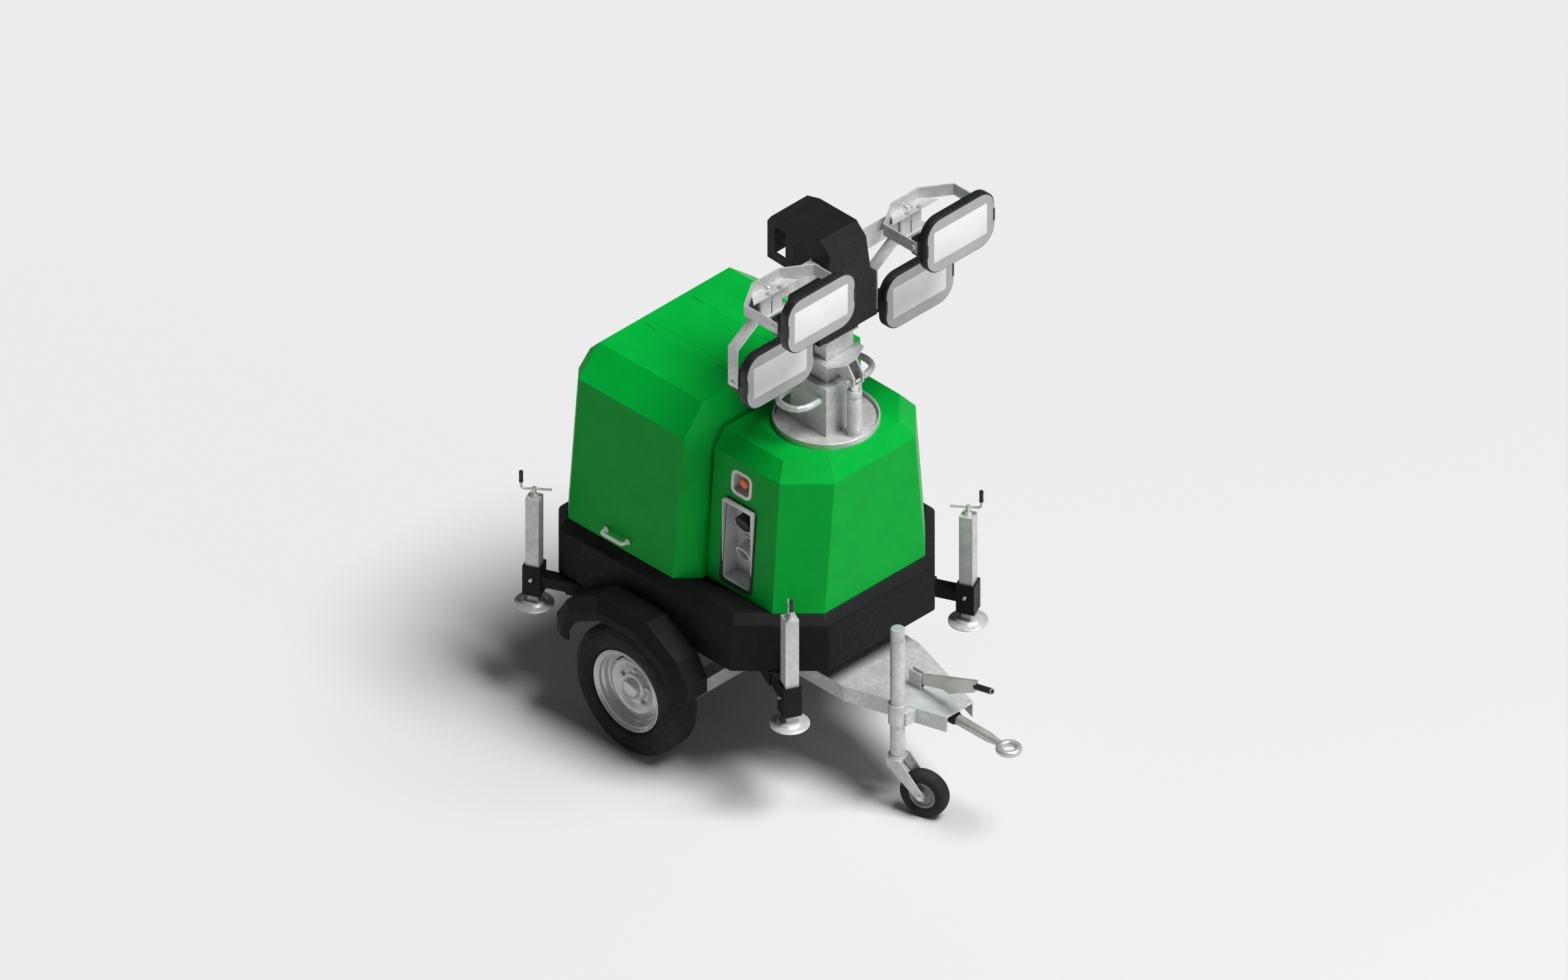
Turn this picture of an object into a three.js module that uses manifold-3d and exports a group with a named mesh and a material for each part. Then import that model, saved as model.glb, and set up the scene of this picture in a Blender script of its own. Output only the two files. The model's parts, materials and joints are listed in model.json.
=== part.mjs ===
// Towable diesel generator with a telescopic lighting mast, on a single-axle trailer.
// Millimetres. +X points to the towing eye, +Z up. The origin is on the ground, under the middle
// of the overall length, on the trailer's centre plane.
import * as THREE from "three";
import { ConvexGeometry } from "three/addons/geometries/ConvexGeometry.js";
import { mergeVertices } from "three/addons/utils/BufferGeometryUtils.js";
import Module from "manifold-3d";

const wasm = await Module();
wasm.setup();

// ---------------------------------------------------------------- driving dimensions
const gap = 0.4; // between pieces that touch
const run = 1.0; // running clearance between pieces that slide or turn

// Base tray and canopy levels
const trayLength = 1399;
const trayWidth = 1196;
const trayBottom = 608;
const trayShoulder = 833; // top of the upright sides
const ledge = 40; // 45 degree ledge, in and up
const trayFrontChamfer = 288;
const trayRearChamfer = 108;
const trayFloor = 8;
const deck = trayShoulder + ledge; // what the canopy stands on
const deckX = trayLength / 2 - ledge; // half length and half width of the deck
const deckY = trayWidth / 2 - ledge;
const roof = 1675;
const bonnet = 1571; // flat top of the front cowl
const sideTop = 1565; // where the rear block's sides break inwards
const cowlSideTop = 1501;
const wall = 16; // canopy wall
const blockJoint = 120; // x where the rear block ends and the cowl starts
const doorSeam = 118; // half width of the fixed roof strip between the doors

// Wheels and axle
const tyreRadius = 300;
const tyreWidth = 155;
const rimRadius = 188.6;
const barrelRadius = 168;
const treadInside = 278; // inner radius of the tread
const rimBead = 60; // half width between the bead seats
const wheelSides = 28;
const wheelX = -103;
const wheelY = trayWidth / 2 + 30; // centre of the tyre
const stubRadius = 20;
const axleTube = 70;
const armReach = 174; // axle tube ahead of the wheel centre

// Fender
const fenderLip = wheelY + tyreWidth / 2 + 40.5; // outer face, from the centre plane
const fenderSheet = 8;

// Drawbar
const barTop = 489.5;
const barHeight = 75.5;
const barSheet = 8;
const railHalf = 222; // outer half width of the parallel rails
const railWidth = 48;
const noseHalf = 79; // outer half width at the front
const railEnd = trayLength / 2 - 4.5; // x where the rails start to converge
const plateRear = railEnd - 195; // rear edge of the top plate between the rails
const noseX = railEnd + 461;
const railRear = 79.5 - trayLength / 2;
const eyeX = noseX + 286;
const eyeZ = 436;
const eyeRing = 40.5;
const eyeSection = 15.5;
const drawRod = 22.5;

// Jockey wheel
const jockeyX = railEnd + 275;
const stemRadius = 31;
const clampWall = 9;
const stemTop = 898;
const jockeyRadius = 108;
const jockeyWidth = 68;
const jockeyTrail = 126;
const jockeyAngle = 18;
const jockeyPin = 9;
const leverX = railEnd + 210; // handbrake pivot

// Outriggers
const frontJack = [trayLength / 2 - 16.5, trayWidth / 2 - 77];
const rearJack = [22.5 - trayLength / 2, trayWidth / 2 + 56];
const armAngle = 24.8;
const armLength = 560;
const armWidth = 60;
const armBottom = 549;
const armHeight = 52;
const jackTube = 60;
const jackWall = 5;
const jackTop = 982;
const collar = 80;
const collarBottom = 500;
const collarTop = 645;
const padTop = 464;
const padRadius = 84;
const crankBar = 1018;

// Mast and head
const mastX = 375;
const ringRadius = 224;
const ringTop = 1599;
const ringWall = 8;
const ringSides = 36;
const mastTube = 208;
const mastTop = 1818;
const stageTube = 137;
const stageTop = 1942;
const innerTube = 108;
const headBox = 159;
const headPlate = 190;
const headPlateTop = 2043;
const ramOffset = 165;
const ramRadius = 31.5;
const ramRodRadius = 19;
const ramTop = 1801;
const ramPin = 1857;
const ramFoot = 713; // underside of the cylinder
const mastWall = 6;
const innerWall = 6;
const pushBarZ = 1752;
const barY = 470; // half length of the lamp bar
const barSection = 57;
const barCentre = [423, 2414];

// Floodlights
const lampWidth = 400;
const lampHeight = 270;
const lampDepth = 58;
const lampCorner = 84;
const lampY = 407;
const upperLamp = [753, 2495]; // front face x, centre z
const lowerLamp = [514, 2094];
const pivotBack = 71; // tilt pivot behind the front face
const bracketHalf = 208; // half width of the U bracket, outside
const bracketStrap = 56;
const bracketSheet = 6;
const bossRadius = 20; // upright boss on the lamp bar, under each upper bracket
const bossX = 443;

// ---------------------------------------------------------------- helpers
const rad = THREE.MathUtils.degToRad;
const finish = (color, roughness, metalness) =>
  new THREE.MeshStandardMaterial({ color, roughness, metalness });
const green = () => finish(0x0a9a3c, 0.45, 0.0);
const black = () => finish(0x17181a, 0.6, 0.0);
const zinc = () => finish(0xb9bbb8, 0.45, 0.7);
const rubber = () => finish(0x141414, 0.9, 0.0);
const iron = () => finish(0x55585a, 0.6, 0.5);

// A closed solid from any three.js geometry.
function solid(geometry) {
  const bare = geometry.index ? geometry.toNonIndexed() : geometry.clone();
  bare.deleteAttribute("normal");
  bare.deleteAttribute("uv");
  const merged = mergeVertices(bare, 1e-3);
  const triVerts = new Uint32Array(merged.index.array);
  const vertProperties = merged.attributes.position.array;
  return new wasm.Manifold(new wasm.Mesh({ numProp: 3, vertProperties, triVerts }));
}

function join(...parts) {
  return parts.reduce((whole, part) => whole.add(part));
}

// A named mesh of one solid.
function piece(name, shape, material) {
  const { vertProperties, triVerts } = shape.getMesh();
  const geometry = new THREE.BufferGeometry();
  geometry.setAttribute("position", new THREE.BufferAttribute(vertProperties, 3));
  geometry.setIndex(new THREE.BufferAttribute(triVerts, 1));
  geometry.computeVertexNormals();
  const mesh = new THREE.Mesh(geometry, material);
  mesh.name = name;
  return mesh;
}

function block(x0, x1, y0, y1, z0, z1) {
  const box = new THREE.BoxGeometry(x1 - x0, y1 - y0, z1 - z0);
  return solid(box.translate((x0 + x1) / 2, (y0 + y1) / 2, (z0 + z1) / 2));
}

// A square post on the z axis.
const post = (size, z0, z1) => block(-size / 2, size / 2, -size / 2, size / 2, z0, z1);

function hull(points) {
  return solid(new ConvexGeometry(points.map((p) => new THREE.Vector3(...p))));
}

// Points at height z, each with its mirror image across the centre plane.
const level = (z, points) => points.flatMap(([x, y]) => [[x, -y, z], [x, y, z]]);

const outline = (points) => new THREE.Shape(points.map(([u, v]) => new THREE.Vector2(u, v)));

function extrude(shape, depth, basis) {
  const plain = new THREE.ExtrudeGeometry(shape, { depth, bevelEnabled: false, curveSegments: 4 });
  return solid(plain.applyMatrix4(basis));
}

// Outline in x and y, from z0 to z1.
function plan(points, z0, z1) {
  return extrude(outline(points), z1 - z0, new THREE.Matrix4().makeTranslation(0, 0, z0));
}

// Outline in x and z, from y0 to y1.
function profile(points, y0, y1) {
  const basis = new THREE.Matrix4().makeRotationX(Math.PI / 2).setPosition(0, y1, 0);
  return extrude(outline(points), y1 - y0, basis);
}

// A shape drawn in y and z, from x0 to x1.
function section(shape, x0, x1) {
  const basis = new THREE.Matrix4().makeBasis(
    new THREE.Vector3(0, 1, 0),
    new THREE.Vector3(0, 0, 1),
    new THREE.Vector3(1, 0, 0),
  );
  return extrude(shape, x1 - x0, basis.setPosition(x0, 0, 0));
}

// A round bar between two points.
function rod(radius, from, to, sides = 16, endRadius = radius) {
  const a = new THREE.Vector3(...from);
  const b = new THREE.Vector3(...to);
  const way = b.clone().sub(a);
  const turn = new THREE.Quaternion().setFromUnitVectors(new THREE.Vector3(0, 1, 0), way.clone().normalize());
  const bar = new THREE.CylinderGeometry(endRadius, radius, way.length(), sides);
  const middle = a.add(b).multiplyScalar(0.5);
  return solid(bar.applyQuaternion(turn).translate(middle.x, middle.y, middle.z));
}

// A solid turned about the y axis; the profile is a closed loop of radius and y.
function turned(points, sides) {
  const loop = [...points, points[0]].map(([r, h]) => new THREE.Vector2(r, h));
  return solid(new THREE.LatheGeometry(loop, sides));
}

// A solid turned about the z axis; the profile starts and ends on the axis.
function spun(points, sides) {
  const half = points.map(([r, h]) => new THREE.Vector2(r, h));
  return solid(new THREE.LatheGeometry(half, sides).rotateX(Math.PI / 2));
}

// A bent round bar through points.
function bentBar(radius, points, steps, sides = 10) {
  const curve = new THREE.CatmullRomCurve3(points.map((p) => new THREE.Vector3(...p)), false, "centripetal");
  const ring = new THREE.Shape();
  for (let i = 0; i < sides; i++) {
    const a = (i / sides) * 2 * Math.PI;
    const corner = [radius * Math.cos(a), radius * Math.sin(a)];
    if (i) ring.lineTo(...corner);
    else ring.moveTo(...corner);
  }
  return solid(new THREE.ExtrudeGeometry(ring, { steps, extrudePath: curve, bevelEnabled: false }));
}

function group(children, x = 0, y = 0, z = 0, turn = 0) {
  const made = new THREE.Group();
  made.add(...children);
  made.position.set(x, y, z);
  made.rotation.z = turn;
  return made;
}

// ---------------------------------------------------------------- chassis
const noseSlope = (railHalf - noseHalf) / (noseX - railEnd);
const barHalfAt = (x) => railHalf - Math.max(0, x - railEnd) * noseSlope; // outer half width at x
const barBottom = barTop - barHeight;
const jockeyY = -barHalfAt(jockeyX) - stemRadius - 10.3; // stem beside the converging rail

// Folded channel: two rails under the tray, running into an A frame with a top plate.
function drawbarFrame() {
  const plate = (inset, front) => [
    [railRear + inset, -railHalf + inset],
    [railEnd, -railHalf + inset],
    [front, -barHalfAt(front) + inset],
    [front, barHalfAt(front) - inset],
    [railEnd, railHalf - inset],
    [railRear + inset, railHalf - inset],
  ];
  const inner = railHalf - railWidth;
  const underside = plan(plate(barSheet, noseX + 1), barBottom - 1, barTop - barSheet);
  const window = block(railRear + railWidth, plateRear, -inner, inner, 0, barTop + 1);
  const shell = plan(plate(0, noseX), barBottom, barTop).subtract(underside).subtract(window);
  const ears = [-1, 1].map((side) => {
    const y = side * 12;
    return block(leverX - 33, leverX + 35, y - 4, y + 4, barTop - 2, barTop + 75.5);
  });
  return join(shell, ...ears);
}

function axleBeam() {
  const x = wheelX + armReach;
  const half = axleTube / 2;
  const z = tyreRadius;
  const armY = wheelY - tyreWidth / 2 - 16;
  const tube = block(x - half, x + half, -armY, armY, z - half, z + half);
  const ends = [-1, 1].flatMap((side) => {
    const plateIn = armY - 26;
    const arm = profile(
      [
        [wheelX - 34, z - 30],
        [x + half, z - 44],
        [x + half, z + 44],
        [wheelX - 34, z + 30],
      ],
      side > 0 ? plateIn : -armY,
      side > 0 ? armY : -plateIn,
    );
    const stub = rod(stubRadius, [wheelX, side * plateIn, z], [wheelX, side * (wheelY + 34), z], 14);
    const railY = side * (railHalf - railWidth / 2);
    const hanger = block(x - 60, x + 60, railY - 20, railY + 20, z, barBottom - gap);
    return [arm, stub, hanger];
  });
  return join(tube, ...ends);
}

// Octagon of the tray, drawn in by an inset that keeps its corners parallel.
function trayOutline(inset) {
  const x = trayLength / 2 - inset;
  const y = trayWidth / 2 - inset;
  const trim = inset * (2 - Math.SQRT2);
  const front = trayFrontChamfer - trim;
  const rear = trayRearChamfer - trim;
  return [[-x, y - rear], [-x + rear, y], [x - front, y], [x, y - front]];
}

// Inside of the tray and of the canopy above it.
function trayWell() {
  const rear = 59.5 - deckX;
  const front = deckX - 59.5;
  const side = deckY - 58;
  const cowlIn = deckY - 158;
  const inside = [
    [rear, cowlIn],
    [rear + 60, side],
    [20, side],
    [blockJoint, cowlIn + 10],
    [front - 130, cowlIn],
    [front, cowlIn - 150],
  ];
  return hull([...level(trayBottom + trayFloor, inside), ...level(deck + 1, inside)]);
}

function baseTray() {
  const body = hull([
    ...level(trayBottom, trayOutline(0)),
    ...level(trayShoulder, trayOutline(0)),
    ...level(deck, trayOutline(ledge)),
  ]);
  return body.subtract(trayWell());
}

// Arched mudguard with a sloped outer edge and an upright lip, open below and on its inner side.
function fender(side) {
  const lip = (t) => [[329 - t, 440], [329 - t, 497 - t / 2], [280 - t, 577 - t], [114 - t / 2, 671 - t]];
  const crown = (t) => [[382 - t, 440], [382 - t, 518 - t / 2], [322 - t, 615 - t], [144 - t / 2, 725 - t]];
  const slice = (points, y) => points.flatMap(([x, z]) => [[x, y, z], [-x, y, z]]);
  const slope = fenderLip - 30;
  const inner = trayWidth / 2 + gap;
  const t = fenderSheet;
  const skin = hull([...slice(lip(0), fenderLip), ...slice(crown(0), slope), ...slice(crown(0), inner)]);
  const open = (points) => points.map(([x, z], i) => (i ? [x, z] : [x, z - 1]));
  const space = hull([
    ...slice(open(lip(t)), fenderLip - t),
    ...slice(open(crown(t)), slope - t / 2),
    ...slice(open(crown(t)), inner - 1),
  ]);
  const half = [[284, 430], [284, 490], [243, 556], [100, 630]]; // the opening that shows the wheel
  const opening = half.concat(half.map(([x, z]) => [-x, z]).reverse());
  const arch = skin.subtract(space).subtract(profile(opening, fenderLip - t - 1, fenderLip + 1));
  const placed = side > 0 ? arch : arch.mirror([0, 1, 0]);
  return placed.translate([wheelX, 0, 0]);
}

// Cross beam on the rails with a square socket for the arm at each end.
function outriggerBeam(jack, sign) {
  const reach = 150; // socket mouth, inboard of the jack
  const depth = armLength + 40;
  const shell = 6;
  const inboard = 330; // cross beam, inboard of the jacks
  const beamX = jack[0] - sign * inboard;
  const half = jack[1] - inboard * Math.tan(rad(armAngle));
  const cross = block(beamX - 50, beamX + 50, -half, half, barTop + gap, armBottom - run);
  const sockets = [-1, 1].map((side) => {
    const wide = armWidth / 2 + shell;
    const outer = block(-depth, -reach, -wide, wide, armBottom - shell, trayBottom - gap);
    return placeArm(outer, jack, sign, side);
  });
  const bores = [-1, 1].map((side) => {
    const free = armWidth / 2 + run;
    const bore = block(-depth + 12, -reach + 1, -free, free, armBottom - run, armBottom + armHeight + run);
    return placeArm(bore, jack, sign, side);
  });
  return bores.reduce((whole, bore) => whole.subtract(bore), join(cross, ...sockets));
}

// Turn about z, in degrees, that points an arm's local +x outwards.
const armTurn = (sign, side) => (sign > 0 ? side * armAngle : 180 - side * armAngle);

function placeArm(shape, jack, sign, side) {
  return shape.rotate([0, 0, armTurn(sign, side)]).translate([jack[0], side * jack[1], 0]);
}

// ---------------------------------------------------------------- canopy
// Corner points of each moulding on its right side, one row per level, shrunk by t for the inside.
const seat = (t) => deck + gap - (t ? 1 : 0);

const rearLevels = (t) => [
  ...level(seat(t), [
    [-deckX + t, deckY - 85 - t],
    [-deckX + 84.8 + t, deckY - t],
    [blockJoint - 85.2 - t, deckY - t],
    [blockJoint - t, deckY - 85 - t],
  ]),
  ...level(cowlSideTop - t, [[blockJoint - 16.3 - t, deckY - 158 - t]]),
  ...level(bonnet - t, [[blockJoint - 25 - t, deckY - 231 - t]]),
  ...level(sideTop - t / 2, [
    [-deckX + 49.2 + t, deckY - 96 - t],
    [-deckX + 101.8 + t, deckY - 43 - t],
    [blockJoint - 62.8 - t, deckY - 42 - t],
  ]),
  ...level(roof - 42 - t, [[-deckX + 49.2 + t, deckY - 164 - t]]),
  ...level(roof - t, [[-deckX + 89 + t, deckY - 178 - t], [blockJoint - 84 - t, deckY - 180 - t]]),
];

const cowlX = blockJoint + 2 * gap;
const cowlFoot = deckY - 111.3; // half width of the cowl's side, at the deck
const cowlShoulder = cowlFoot - 48.1; // and where the side breaks inwards
const cowlLevels = (t) => [
  ...level(seat(t), [
    [cowlX + t, cowlFoot - t],
    [deckX - 153 - t, cowlFoot - t],
    [deckX - t, cowlFoot - 152.9 - t],
  ]),
  ...level(cowlSideTop - t / 2, [
    [cowlX + t, cowlShoulder - t],
    [deckX - 160.5 - t, cowlShoulder - 0.6 - t],
    [deckX - t, cowlShoulder - 162 - t],
  ]),
  ...level(bonnet - t, [
    [cowlX + t, cowlFoot - 106 - t],
    [deckX - 196.5 - t, cowlFoot - 107.7 - t],
    [deckX - 56.5 - t, cowlFoot - 247.9 - t],
  ]),
];

// Rear block, in three pieces: the fixed strip with the rear end, and a gull-wing door on each side.
function rearBlock() {
  const shell = hull(rearLevels(0)).subtract(hull(rearLevels(wall)));
  const far = 2000;
  const strip = doorSeam - gap;
  const reveal = doorSeam + gap;
  const doorRear = 89 - deckX;
  const fixed = block(-far, far, -strip, strip, 0, far).add(block(-far, doorRear - gap, -far, far, 0, far));
  return {
    strip: shell.intersect(fixed),
    right: shell.intersect(block(doorRear + gap, far, -far, -reveal, 0, far)),
    left: shell.intersect(block(doorRear + gap, far, reveal, far, 0, far)),
  };
}

// Panel recess in the cowl's right side: x range and z range of each pocket.
const socketPocket = [205, 375, 905, 1300];
const stopPocket = [238, 338, 1345, 1445];
const stopX = (stopPocket[0] + stopPocket[1]) / 2;
const stopZ = (stopPocket[2] + stopPocket[3]) / 2;
const stopStem = 14;
const cowlLean = (cowlFoot - cowlShoulder) / (cowlSideTop - deck);
const cowlFaceAt = (z) => cowlFoot - (z - deck) * cowlLean; // half width of the side at z

function pocketCut([x0, x1, z0, z1], grow, depth) {
  return block(x0 - grow, x1 + grow, -cowlFoot - 1, -cowlFaceAt(z1) + depth, z0 - grow, z1 + grow);
}

function frontCowl() {
  const shell = hull(cowlLevels(0)).subtract(hull(cowlLevels(wall)));
  const mastHole = rod(ringRadius - 22, [mastX, 0, bonnet - 60], [mastX, 0, bonnet + 10], ringSides);
  const windowHalf = cowlShoulder - 78.6;
  const rearWindow = block(cowlX - 1, cowlX + wall + 40, -windowHalf, windowHalf, deck - 5, 1440);
  const pockets = [socketPocket, stopPocket].map((p) => pocketCut(p, gap, 80));
  return [mastHole, rearWindow, ...pockets].reduce((whole, cut) => whole.subtract(cut), shell);
}

// Moulded panel behind the cowl's wall: two open pockets on one backing plate.
function socketPanel() {
  const sheet = 5;
  const depth = 62;
  const pockets = [socketPocket, stopPocket].map(([x0, x1, z0, z1], i) => {
    const back = -cowlFaceAt(z1) + (i ? 38 : depth);
    const face = -cowlFaceAt(z0) + 4;
    const outer = block(x0, x1, face, back + sheet, z0, z1);
    const inner = block(x0 + sheet, x1 - sheet, face - 80, back, z0 + sheet, z1 - sheet);
    return outer.subtract(inner);
  });
  const webFace = -cowlFaceAt(stopPocket[3]) + wall + 4;
  const [webLow, webHigh] = [socketPocket[3] - sheet, stopPocket[2] + sheet];
  const web = block(stopPocket[0], stopPocket[1], webFace, webFace + 14, webLow, webHigh);
  const stemHole = rod(stopStem + run, [stopX, -cowlFoot, stopZ], [stopX, 140 - cowlFoot, stopZ], 12);
  return join(...pockets, web).subtract(stemHole);
}

// A bow handle on a door: a bar along x held off the panel on two feet.
function doorHandle(side) {
  const z = 925;
  const panel = deckY - ((z - deck) / (sideTop - deck)) * 43;
  const [x0, x1] = [-367, -216];
  const foot = 16;
  const slab = (a, b, inset, half) => {
    const ends = [side * (panel + a), side * (panel + b)].sort((p, q) => p - q);
    return block(x0 + inset, x1 - inset, ...ends, z - half, z + half);
  };
  return slab(gap + 2, 42, 0, 11).subtract(slab(-5, 30, foot, 12));
}

// ---------------------------------------------------------------- wheels
function tyre() {
  const half = tyreWidth / 2;
  const bead = rimBead - gap;
  const side = [
    [barrelRadius + gap, bead],
    [rimRadius + gap, bead],
    [rimRadius + gap, 71],
    [206, half],
    [258, half],
    [286, 68],
    [tyreRadius, 48],
  ];
  const inner = [[treadInside, 58], [barrelRadius + gap, 46]];
  const mirrored = (points) => points.map(([r, y]) => [r, -y]);
  const loop = [...mirrored(side), ...side.toReversed(), ...inner.toReversed(), ...mirrored(inner)];
  return turned(loop, wheelSides);
}

// Well, disc and hub; the disc is dished towards the trailer and the hub cap faces outwards.
function rim() {
  const lip = rimBead + 7;
  const cap = 54;
  return turned(
    [
      [stubRadius + run, -22],
      [58, -22],
      [58, 6],
      [148, -4],
      [156, -rimBead],
      [176, -lip],
      [rimRadius, -lip],
      [rimRadius, -rimBead],
      [barrelRadius, -rimBead],
      [barrelRadius, rimBead],
      [rimRadius, rimBead],
      [rimRadius, lip],
      [176, lip],
      [156, rimBead],
      [148, 8],
      [58, 20],
      [44, cap],
      [0, cap],
      [0, cap - 8],
      [stubRadius + run, cap - 8],
    ],
    wheelSides,
  );
}

function roadWheel(name, side) {
  const parts = [piece(`tyre_${name}`, tyre(), rubber()), piece(`rim_${name}`, rim(), zinc())];
  return group(parts, wheelX, side * wheelY, tyreRadius, side > 0 ? 0 : Math.PI);
}

// ---------------------------------------------------------------- towing gear
// Ring and draw rod; the rod slides in the drawbar when the trailer pushes on the tow vehicle.
function towEye() {
  const ring = solid(new THREE.TorusGeometry(eyeRing, eyeSection, 8, 20).translate(eyeX, 0, eyeZ));
  const neck = eyeX - eyeRing;
  const shank = rod(drawRod, [noseX - 180, 0, eyeZ], [neck - 70, 0, eyeZ], 14);
  const taper = rod(drawRod, [neck - 70, 0, eyeZ], [neck + 6, 0, eyeZ], 14, 12);
  return join(ring, shank, taper);
}

function handbrakeLever() {
  const edge = [[-21, 26], [-5, 11], [159, 59], [189, 52], [340, 134], [352, 198], [-12, 56]];
  const arm = profile(edge, -7, 7);
  const grip = rod(12.5, [339, 0, 163], [440, 0, 187], 12);
  return join(arm, grip).translate([leverX, 0, barTop]);
}

// Split sleeve with a foot that lies against the drawbar's converging side.
function jockeyClamp() {
  const z0 = barBottom + 11;
  const z1 = barTop + 32;
  const sleeve = rod(stemRadius + clampWall, [jockeyX, jockeyY, z0], [jockeyX, jockeyY, z1], 20);
  const side = (x) => -barHalfAt(x) - gap;
  const [rearX, frontX] = [jockeyX - 34, jockeyX + 50];
  const corners = [[rearX, jockeyY], [frontX, jockeyY], [frontX, side(frontX)], [rearX, side(rearX)]];
  const foot = plan(corners, z0, barTop - 4);
  const bore = rod(stemRadius + run, [jockeyX, jockeyY, z0 - 1], [jockeyX, jockeyY, z1 + 1], 20);
  const [a, b] = [rearX - 20, frontX + 20];
  const bar = plan([[a, side(a)], [b, side(b)], [b, 0], [a, 0]], z0 - 1, z1 + 1);
  return join(sleeve, foot).subtract(bar).subtract(bore);
}

const forkCrown = 266;
function jockeyWheel() {
  const stem = rod(stemRadius, [0, 0, forkCrown], [0, 0, stemTop], 20);
  const half = jockeyWidth / 2;
  const cheek = half + 5;
  const crown = rod(40, [0, 0, forkCrown - gap - 12], [0, 0, forkCrown - gap], 16);
  const bridge = block(-30, 34, -cheek - 6, cheek + 6, forkCrown - 22, forkCrown - 8);
  const legs = [-1, 1].map((side) => {
    const y = side * cheek;
    return profile(
      [
        [-34, forkCrown - 8],
        [-26, forkCrown - 44],
        [jockeyTrail - 14, jockeyRadius - 16],
        [jockeyTrail + 14, jockeyRadius - 16],
        [jockeyTrail + 18, jockeyRadius + 8],
        [34, forkCrown - 8],
      ],
      Math.min(y, y + side * 6),
      Math.max(y, y + side * 6),
    );
  });
  const pinEnd = cheek + 12;
  const pin = rod(jockeyPin, [jockeyTrail, -pinEnd, jockeyRadius], [jockeyTrail, pinEnd, jockeyRadius], 12);
  const side = [
    [jockeyPin + run, half + 3],
    [22, half + 3],
    [24, half - 8],
    [50, half - 8],
    [56, half],
    [96, half - 4],
    [jockeyRadius, 12],
  ];
  const wheel = turned([...side.map(([r, y]) => [r, -y]), ...side.toReversed()], 22);
  const wheelMesh = piece("jockey_wheel", wheel, rubber());
  wheelMesh.position.set(jockeyTrail, 0, jockeyRadius);
  const fork = piece("jockey_fork", join(crown, bridge, pin, ...legs), zinc());
  const parts = [piece("jockey_stem", stem, zinc()), fork, wheelMesh];
  return group(parts, jockeyX, jockeyY, 0, rad(jockeyAngle));
}

// ---------------------------------------------------------------- outriggers
// Pull-out arm with the jack's collar on its outer end.
function outriggerArm() {
  const half = armWidth / 2;
  const beam = block(-armLength, -collar / 2 + 2, -half, half, armBottom, armBottom + armHeight);
  const sleeve = post(collar, collarBottom, collarTop);
  return join(beam, sleeve).subtract(post(jackTube + 2 * gap, collarBottom - 1, collarTop + 1));
}

function jackBody() {
  const bore = jackTube - 2 * jackWall;
  const cap = 6;
  const tube = post(jackTube, collarBottom + 6, jackTop).subtract(post(bore, collarBottom, jackTop - cap));
  return tube.subtract(rod(10 + run, [0, 0, jackTop - 10], [0, 0, jackTop + 1], 12));
}

function jackLeg() {
  const side = jackTube - 2 * jackWall - 2 * run;
  const leg = post(side, padTop - 6, jackTop - 20);
  const dish = [[0, -20], [padRadius, -20], [padRadius, -14], [54, -10], [46, 0], [34, 2], [0, 2]];
  const screw = rod(16, [0, 0, padTop + 60], [0, 0, jackTop], 10);
  return join(leg, spun(dish, 18).translate([0, 0, padTop])).subtract(screw);
}

// Crank on top of the jack: its screw, an offset bar and an upright grip.
function jackCrank(side) {
  const short = 55;
  const long = 74;
  const lift = 86;
  const screw = rod(9, [0, 0, jackTop - 90], [0, 0, crankBar], 10);
  const route = [
    [long, 0, crankBar],
    [-short + 14, 0, crankBar],
    [-short, 0, crankBar + 14],
    [-short, 0, crankBar + 40],
  ];
  const bend = bentBar(5.5, route, 8, 6);
  const grip = rod(9.5, [-short, 0, crankBar + 30], [-short, 0, crankBar + lift], 10);
  return join(screw, bend, grip).rotate([0, 0, 180 + side * 13.7]);
}

function outrigger(name, jack, sign, side) {
  const mirrored = sign * side;
  const parts = [
    piece(`outrigger_arm_${name}`, outriggerArm(), black()),
    piece(`jack_tube_${name}`, jackBody(), zinc()),
    piece(`jack_leg_${name}`, jackLeg(), zinc()),
    piece(`jack_crank_${name}`, jackCrank(mirrored), zinc()),
  ];
  return group(parts, jack[0], side * jack[1], 0, rad(armTurn(sign, side)));
}

// ---------------------------------------------------------------- mast
const cellar = trayBottom + trayFloor; // floor inside the tray

// Outer mast tube on its turntable, with a push bar on each side.
function mastBase() {
  const inside = post(mastTube - 2 * mastWall, cellar, mastTop - mastWall);
  const stageHole = post(stageTube + 2 * run, cellar, mastTop + 1);
  const ramHole = rod(ramRadius + run, [ramOffset, 0, bonnet - 20], [ramOffset, 0, bonnet + 20], 16);
  const tube = post(mastTube, cellar + run, mastTop);
  const tableRadius = ringRadius - ringWall - run;
  const table = rod(tableRadius, [0, 0, bonnet + gap], [0, 0, bonnet + 9], ringSides);
  const shelf = block(mastTube / 2 - 2, ramOffset + 40, -40, 40, ramFoot - 13, ramFoot - gap);
  const bars = [-1, 1].map((side) => {
    const route = [[70, -4], [70, 70], [40, 124], [-50, 128], [-76, 70], [-76, -4]];
    const points = route.map(([x, out]) => [x, side * (mastTube / 2 + out), pushBarZ]);
    return bentBar(15, points, 12, 8);
  });
  return join(tube, table, shelf, ...bars).subtract(inside).subtract(ramHole).subtract(stageHole);
}

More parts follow.
